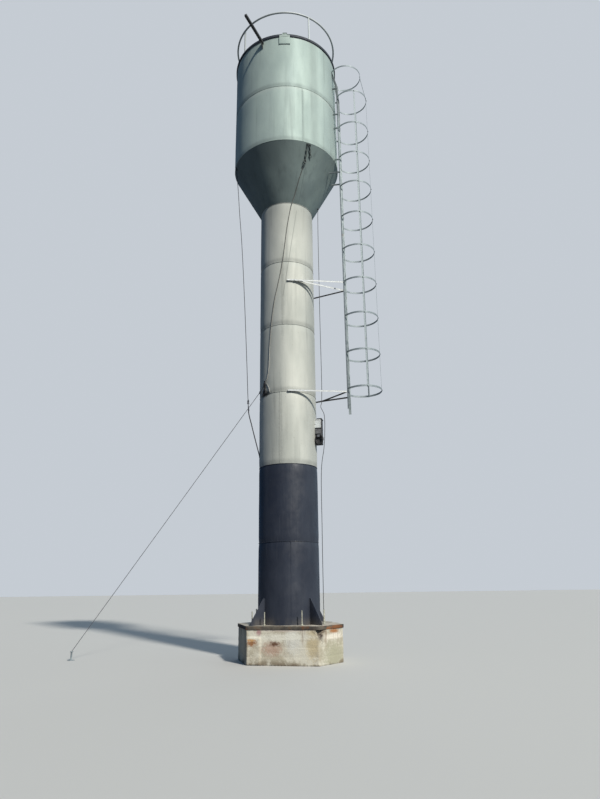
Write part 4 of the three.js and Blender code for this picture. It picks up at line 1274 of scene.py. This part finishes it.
def knot_coil(reach, rise, size, lean):
    """One turn of the knot, lying on the column, higher than wide, and leaning to one side."""
    outward = round_place(1, KNOT_ANGLE, 0)
    sideways = Vector((-outward.y, outward.x, 0))
    line = []
    for i in range(61):
        turn = 2 * pi * i / 60
        wide, tall = size * cos(turn), 1.5 * size * sin(turn)
        right = wide * cos(lean) - tall * sin(lean)
        up = wide * sin(lean) + tall * cos(lean)
        out = ROPE_SEAT + 0.006 + reach + 0.006 * cos(turn)
        line.append(outward * out + sideways * right + Vector((0, 0, KNOT_LEVEL + rise + up)))
    return line


knot_coils = weld_together("knot_coils", *(
    laid_rope("knot_coil", knot_coil(*coil), COIL_THICKNESS, pitch=0.09) for coil in KNOT_COILS
))
tarred_rope = rope_finish("tarred_wire_rope", (0.07, 0.07, 0.075), (0.02, 0.02, 0.024))
give(knot_coils, tarred_rope, "steel_rope")
ends = []
for end in (LEFT_END, RIGHT_END):
    route = [round_place(COLUMN_RADIUS + 0.003, angle, KNOT_LEVEL + rise) for angle, rise in end]
    ends.append(laid_rope("knot_end", smooth_route(route, 0.005), ROPE_RADIUS))
knot_ends = weld_together("tied_knot", *ends)
give(knot_ends, wire_rope, "steel_rope", "rope_knot")

# The side rope: it hangs from an eye under the tank's seam, clear of the column, and is made
# fast to the column's side low down. A bow shackle and a pressed sleeve join its two lengths.

SIDE_ROPE_RADIUS = 0.007
SIDE_ROPE_EXIT = (-1.1854, -0.2956, 10.79)
SERVED_RADIUS = 0.0115
EYE_ANGLE = -166


def eye_plate(name, radius, place, degrees):
    """A small round plate welded to the column, to hold a rope."""
    plate = round_bar(name, radius, 0.012, place, (0, pi / 2, radians(degrees)))
    round_edges(plate, 0.003)
    return plate


side_line = smooth_route([
    SIDE_ROPE_EXIT,
    (-1.135, -0.300, 10.250),
    (-1.085, -0.300, 9.550),
    (-1.030, -0.300, 8.880),
    (-0.940, -0.300, 7.370),
    (-0.860, -0.300, 5.730),
    (-0.832, -0.298, 5.090),
    (-0.812, -0.290, 4.780),
    (-0.757, -0.238, 4.555),
    (-0.698, -0.188, 4.320),
    (-0.604, -0.110, 3.960),
    (-0.540, -0.057, 3.720),
])
side_line = [point for point in side_line if hypot(point.x, point.y) > COLUMN_RADIUS - 0.004]
side_rope = laid_rope("laid_side_rope", side_line, SIDE_ROPE_RADIUS, pitch=0.1)
give(side_rope, dark_rope, "steel_rope", "side_rope")
lower_line = [point for point in side_line if 3.9 < point.z < 4.84]
served = laid_rope("served_lower_rope", lower_line, SERVED_RADIUS, pitch=0.05)
give(served, dark_rope, "steel_rope")
bow = bent_ring(
    "bow", 0.0125, 0.0075, (-0.8275, -0.297, 5.03), (28, 10), (pi / 2, radians(4), radians(20)),
    (1, 2.4, 1),
)
pin = round_bar("pin", 0.009, 0.046, (-0.825, -0.296, 4.985), (0, pi / 2, radians(20)), sides=14)
bpy.ops.mesh.primitive_cone_add(
    vertices=18, radius1=0.0145, radius2=0.0105, depth=0.11, location=(-0.8185, -0.2935, 4.885),
    rotation=(0, radians(-5), 0),
)
sleeve = settle("sleeve")
shackle = weld_together("bow_shackle", bow, pin, sleeve)
smooth_up(shackle, 40)
give(shackle, bitumen_finish("tarred_shackle", 0.5), "bare_steel")
rope_eye = cut_block(
    "rope_eye", round_place(cone_radius(PAD_LEVEL) + 0.004, EYE_ANGLE, PAD_LEVEL + 0.005),
    (0.014, 0.06, 0.06), (0, radians(PAD_TIP), radians(EYE_ANGLE)),
)
round_edges(rope_eye, 0.004)
anchor_place = side_line[-1] + Vector((-0.002, -0.001, 0.0))
rope_anchor = eye_plate("rope_anchor", 0.03, anchor_place, 190)
side_fixings = weld_together("side_rope_fixings", rope_eye, rope_anchor)
give(side_fixings, dark_steel_and_painted_shade, "bare_steel")

# The stay: a thin steel rope, drawn tight from the column's side near the knot to a stake of
# round bar with a plate foot. It is made fast to a small eye plate at the column.

STAY_RADIUS = 0.006
STAY_HEAD = (-0.5985, -0.0735, 5.298)
STAY_FOOT = (-4.2995, 0.5995, 0.1655)

stay_line = smooth_route([STAY_HEAD, STAY_FOOT])
stay_rope = laid_rope("laid_stay", stay_line, STAY_RADIUS, pitch=0.09)
give(stay_rope, stay_wire, "steel_rope", "stay_rope")
stay_eye = eye_plate("stay_eye_plate", 0.028, Vector(STAY_HEAD) + Vector((-0.004, 0, 0)), 187)
give(stay_eye, dark_steel_and_painted_shade, "bare_steel")
stake = merged_copy("stay_stake", "round_stake")
round_edges(stake, 0.002, angle_limit=0.7)
smooth_up(stake, 35)
give(stake, galvanised, "bare_steel", "stay_stake")

# The pump's cable: black rubber flex that comes out of a gland in the cone, hangs beside the
# column past the switch box, and goes down through the base plate.

CABLE_RADIUS = 0.006


def rubber_finish():
    finish, tree = new_finish("rubber_sheath", 0.55)
    chalky = fade(tree, grain(tree, 14, detail=4), 0.4, 0.7)
    tone = mix_tones(tree, chalky, (0.013, 0.013, 0.015), (0.045, 0.045, 0.046))
    return coat(finish, tone, grain(tree, 200, detail=2), 0.0003)


rubber = rubber_finish()
cable_line = smooth_route([
    (0.745, 0, 9.960),
    (0.735, 0, 9.600),
    (0.728, 0, 7.300),
    (0.722, -0.020, 5.100),
    (0.700, -0.060, 4.980),
    (0.762, -0.105, 4.800),
    (0.768, -0.105, 4.400),
    (0.745, -0.090, 4.080),
    (0.690, -0.040, 3.700),
    (0.672, -0.020, 2.400),
    (0.668, -0.010, 0.600),
], 0.02)
cable_line = [
    point for point in cable_line
    if hypot(point.x, point.y) > cone_radius(point.z) - 0.003 and point.z > PLATE_TOP
]
cable = laid_rope("hanging_flex", cable_line, CABLE_RADIUS, strands=0, sides=12)
give(cable, rubber, "black_cable", "hanging_cable")
glands = []
for place, depth in (
    (cable_line[0] + Vector((0, 0, -0.012)), 0.05), (cable_line[-1] + Vector((0, 0, 0.02)), 0.045),
):
    bpy.ops.mesh.primitive_cone_add(
        vertices=20, radius1=0.016, radius2=0.012, depth=depth, location=place,
    )
    gland = settle("gland")
    round_edges(gland, 0.002)
    smooth_up(gland, 35)
    glands.append(gland)
cable_glands = weld_together("cable_glands", *glands)
give(cable_glands, rubber, "black_plastic")

# The switch box: a black plastic housing with a band and a wider cap, fixed to the column. A
# white sheet-steel door covers its upper half, on two hinges and a turn latch. Below it are a
# grey terminal cover and a small grey plate beside the coil.

BOX_TURN = -14


def mounted(name, *shapes, smooth=35):
    """Joins the shapes into one piece and turns it round the column to the box's side."""
    piece = weld_together(name, *shapes)
    piece.rotation_euler.z = radians(BOX_TURN)
    take_up(piece)
    piece = settle(name)
    smooth_up(piece, smooth)
    return piece


def box_shape(name, low, high, round_off):
    low, high = Vector(low), Vector(high)
    shape = cut_block(name, (low + high) / 2, high - low)
    round_edges(shape, round_off, segments=3)
    return shape


def sink_front(shape, border, depth):
    """Sets a shape's front back inside a border, as a moulded or pressed panel's is."""
    sink_face(shape, lambda middle, facing: facing.y < -0.9, border, (0, depth, 0))


def plain_finish(name, roughness, light, dark):
    finish, tree = new_finish(name, roughness)
    aged = fade(tree, grain(tree, 16, detail=5), 0.35, 0.68)
    tone = mix_tones(tree, aged, light, dark)
    runs = fade(tree, grain(tree, 40, stretch=(1, 1, 0.08), detail=3), 0.58, 0.78, 0, 0.3)
    tone = mix_tones(tree, runs, tone, tuple(0.6 * part for part in dark))
    return coat(finish, tone, grain(tree, 150, detail=2), 0.0004)


housing = box_shape("housing", (0.592, -0.075, 4.13), (0.736, 0.075, 4.662), 0.008)
sink_front(housing, 0.012, 0.006)
cap = box_shape("cap", (0.634, -0.086, 4.656), (0.742, 0.086, 4.676), 0.004)
band = box_shape("band", (0.592, -0.078, 4.452), (0.739, 0.078, 4.468), 0.003)
switch_box = mounted("switch_housing", housing, cap, band)
black_housing = plain_finish("black_housing", 0.5, (0.03, 0.03, 0.034), (0.055, 0.053, 0.05))
give(switch_box, black_housing, "black_plastic", "switch_box")

cover = box_shape("cover", (0.598, -0.090, 4.338), (0.712, -0.070, 4.446), 0.006)
sink_front(cover, 0.014, 0.005)
cover = mounted("terminal_cover", cover)
grey_plastic = plain_finish("grey_cover", 0.6, (0.17, 0.175, 0.18), (0.11, 0.11, 0.115))
give(cover, grey_plastic, "black_plastic")
coil_plate = box_shape("coil_plate", (0.652, -0.147, 4.262), (0.700, -0.137, 4.312), 0.003)
coil_plate = mounted("coil_plate", coil_plate)
grey_enamel = plain_finish("grey_enamel", 0.5, (0.15, 0.16, 0.175), (0.10, 0.105, 0.115))
give(coil_plate, grey_enamel, "box_paint")

door = box_shape("door", (0.576, -0.0873, 4.47), (0.716, -0.0753, 4.65), 0.003)
sink_front(door, 0.012, 0.003)
hinges = [
    round_bar("hinge", 0.006, 0.03, (0.716, -0.0835, level), sides=14) for level in (4.505, 4.615)
]
latch = round_bar("latch", 0.011, 0.009, (0.612, -0.0885, 4.56), (pi / 2, 0, 0), sides=24)
door = mounted("white_box_door", door, *hinges, latch)
white_enamel = plain_finish("box_enamel", 0.42, (0.70, 0.73, 0.72), (0.60, 0.625, 0.615))
give(door, white_enamel, "box_paint", "box_door")

# The spare cable: seven turns of the same flex wound into a coil, hung on a peg in front of the
# housing's lower half and tied once with tape.

COIL_TURNS = 7
STEPS_PER_TURN = 48
COIL_HANGS_AT = (0.690, 4.232)

coil_line = []
for i in range(STEPS_PER_TURN * COIL_TURNS + 1):
    turn = 2 * pi * i / STEPS_PER_TURN
    lap = turn / (2 * pi)
    reach = 0.074 + 0.008 * sin(2.3 * lap) + 0.004 * sin(7 * lap)
    depth = -0.089 - 0.0062 * lap + 0.004 * sin(3 * turn)
    coil_line.append(Vector((
        COIL_HANGS_AT[0] + reach * sin(turn),
        depth,
        COIL_HANGS_AT[1] + 1.16 * reach * cos(turn) - 0.002 * lap,
    )))
coil = laid_rope("coil", coil_line, CABLE_RADIUS, strands=0, sides=10)
peg = box_shape("peg", (0.668, -0.137, 4.320), (0.692, -0.074, 4.338), 0.003)
tie = bent_ring(
    "tie", 0.024, 0.004, (0.682, -0.111, 4.146), (28, 8), (0, pi / 2, 0), (0.75, 1.05, 1),
)
coil = mounted("wound_spare_cable", coil, peg, tie, smooth=50)
give(coil, rubber, "black_cable", "cable_coil")
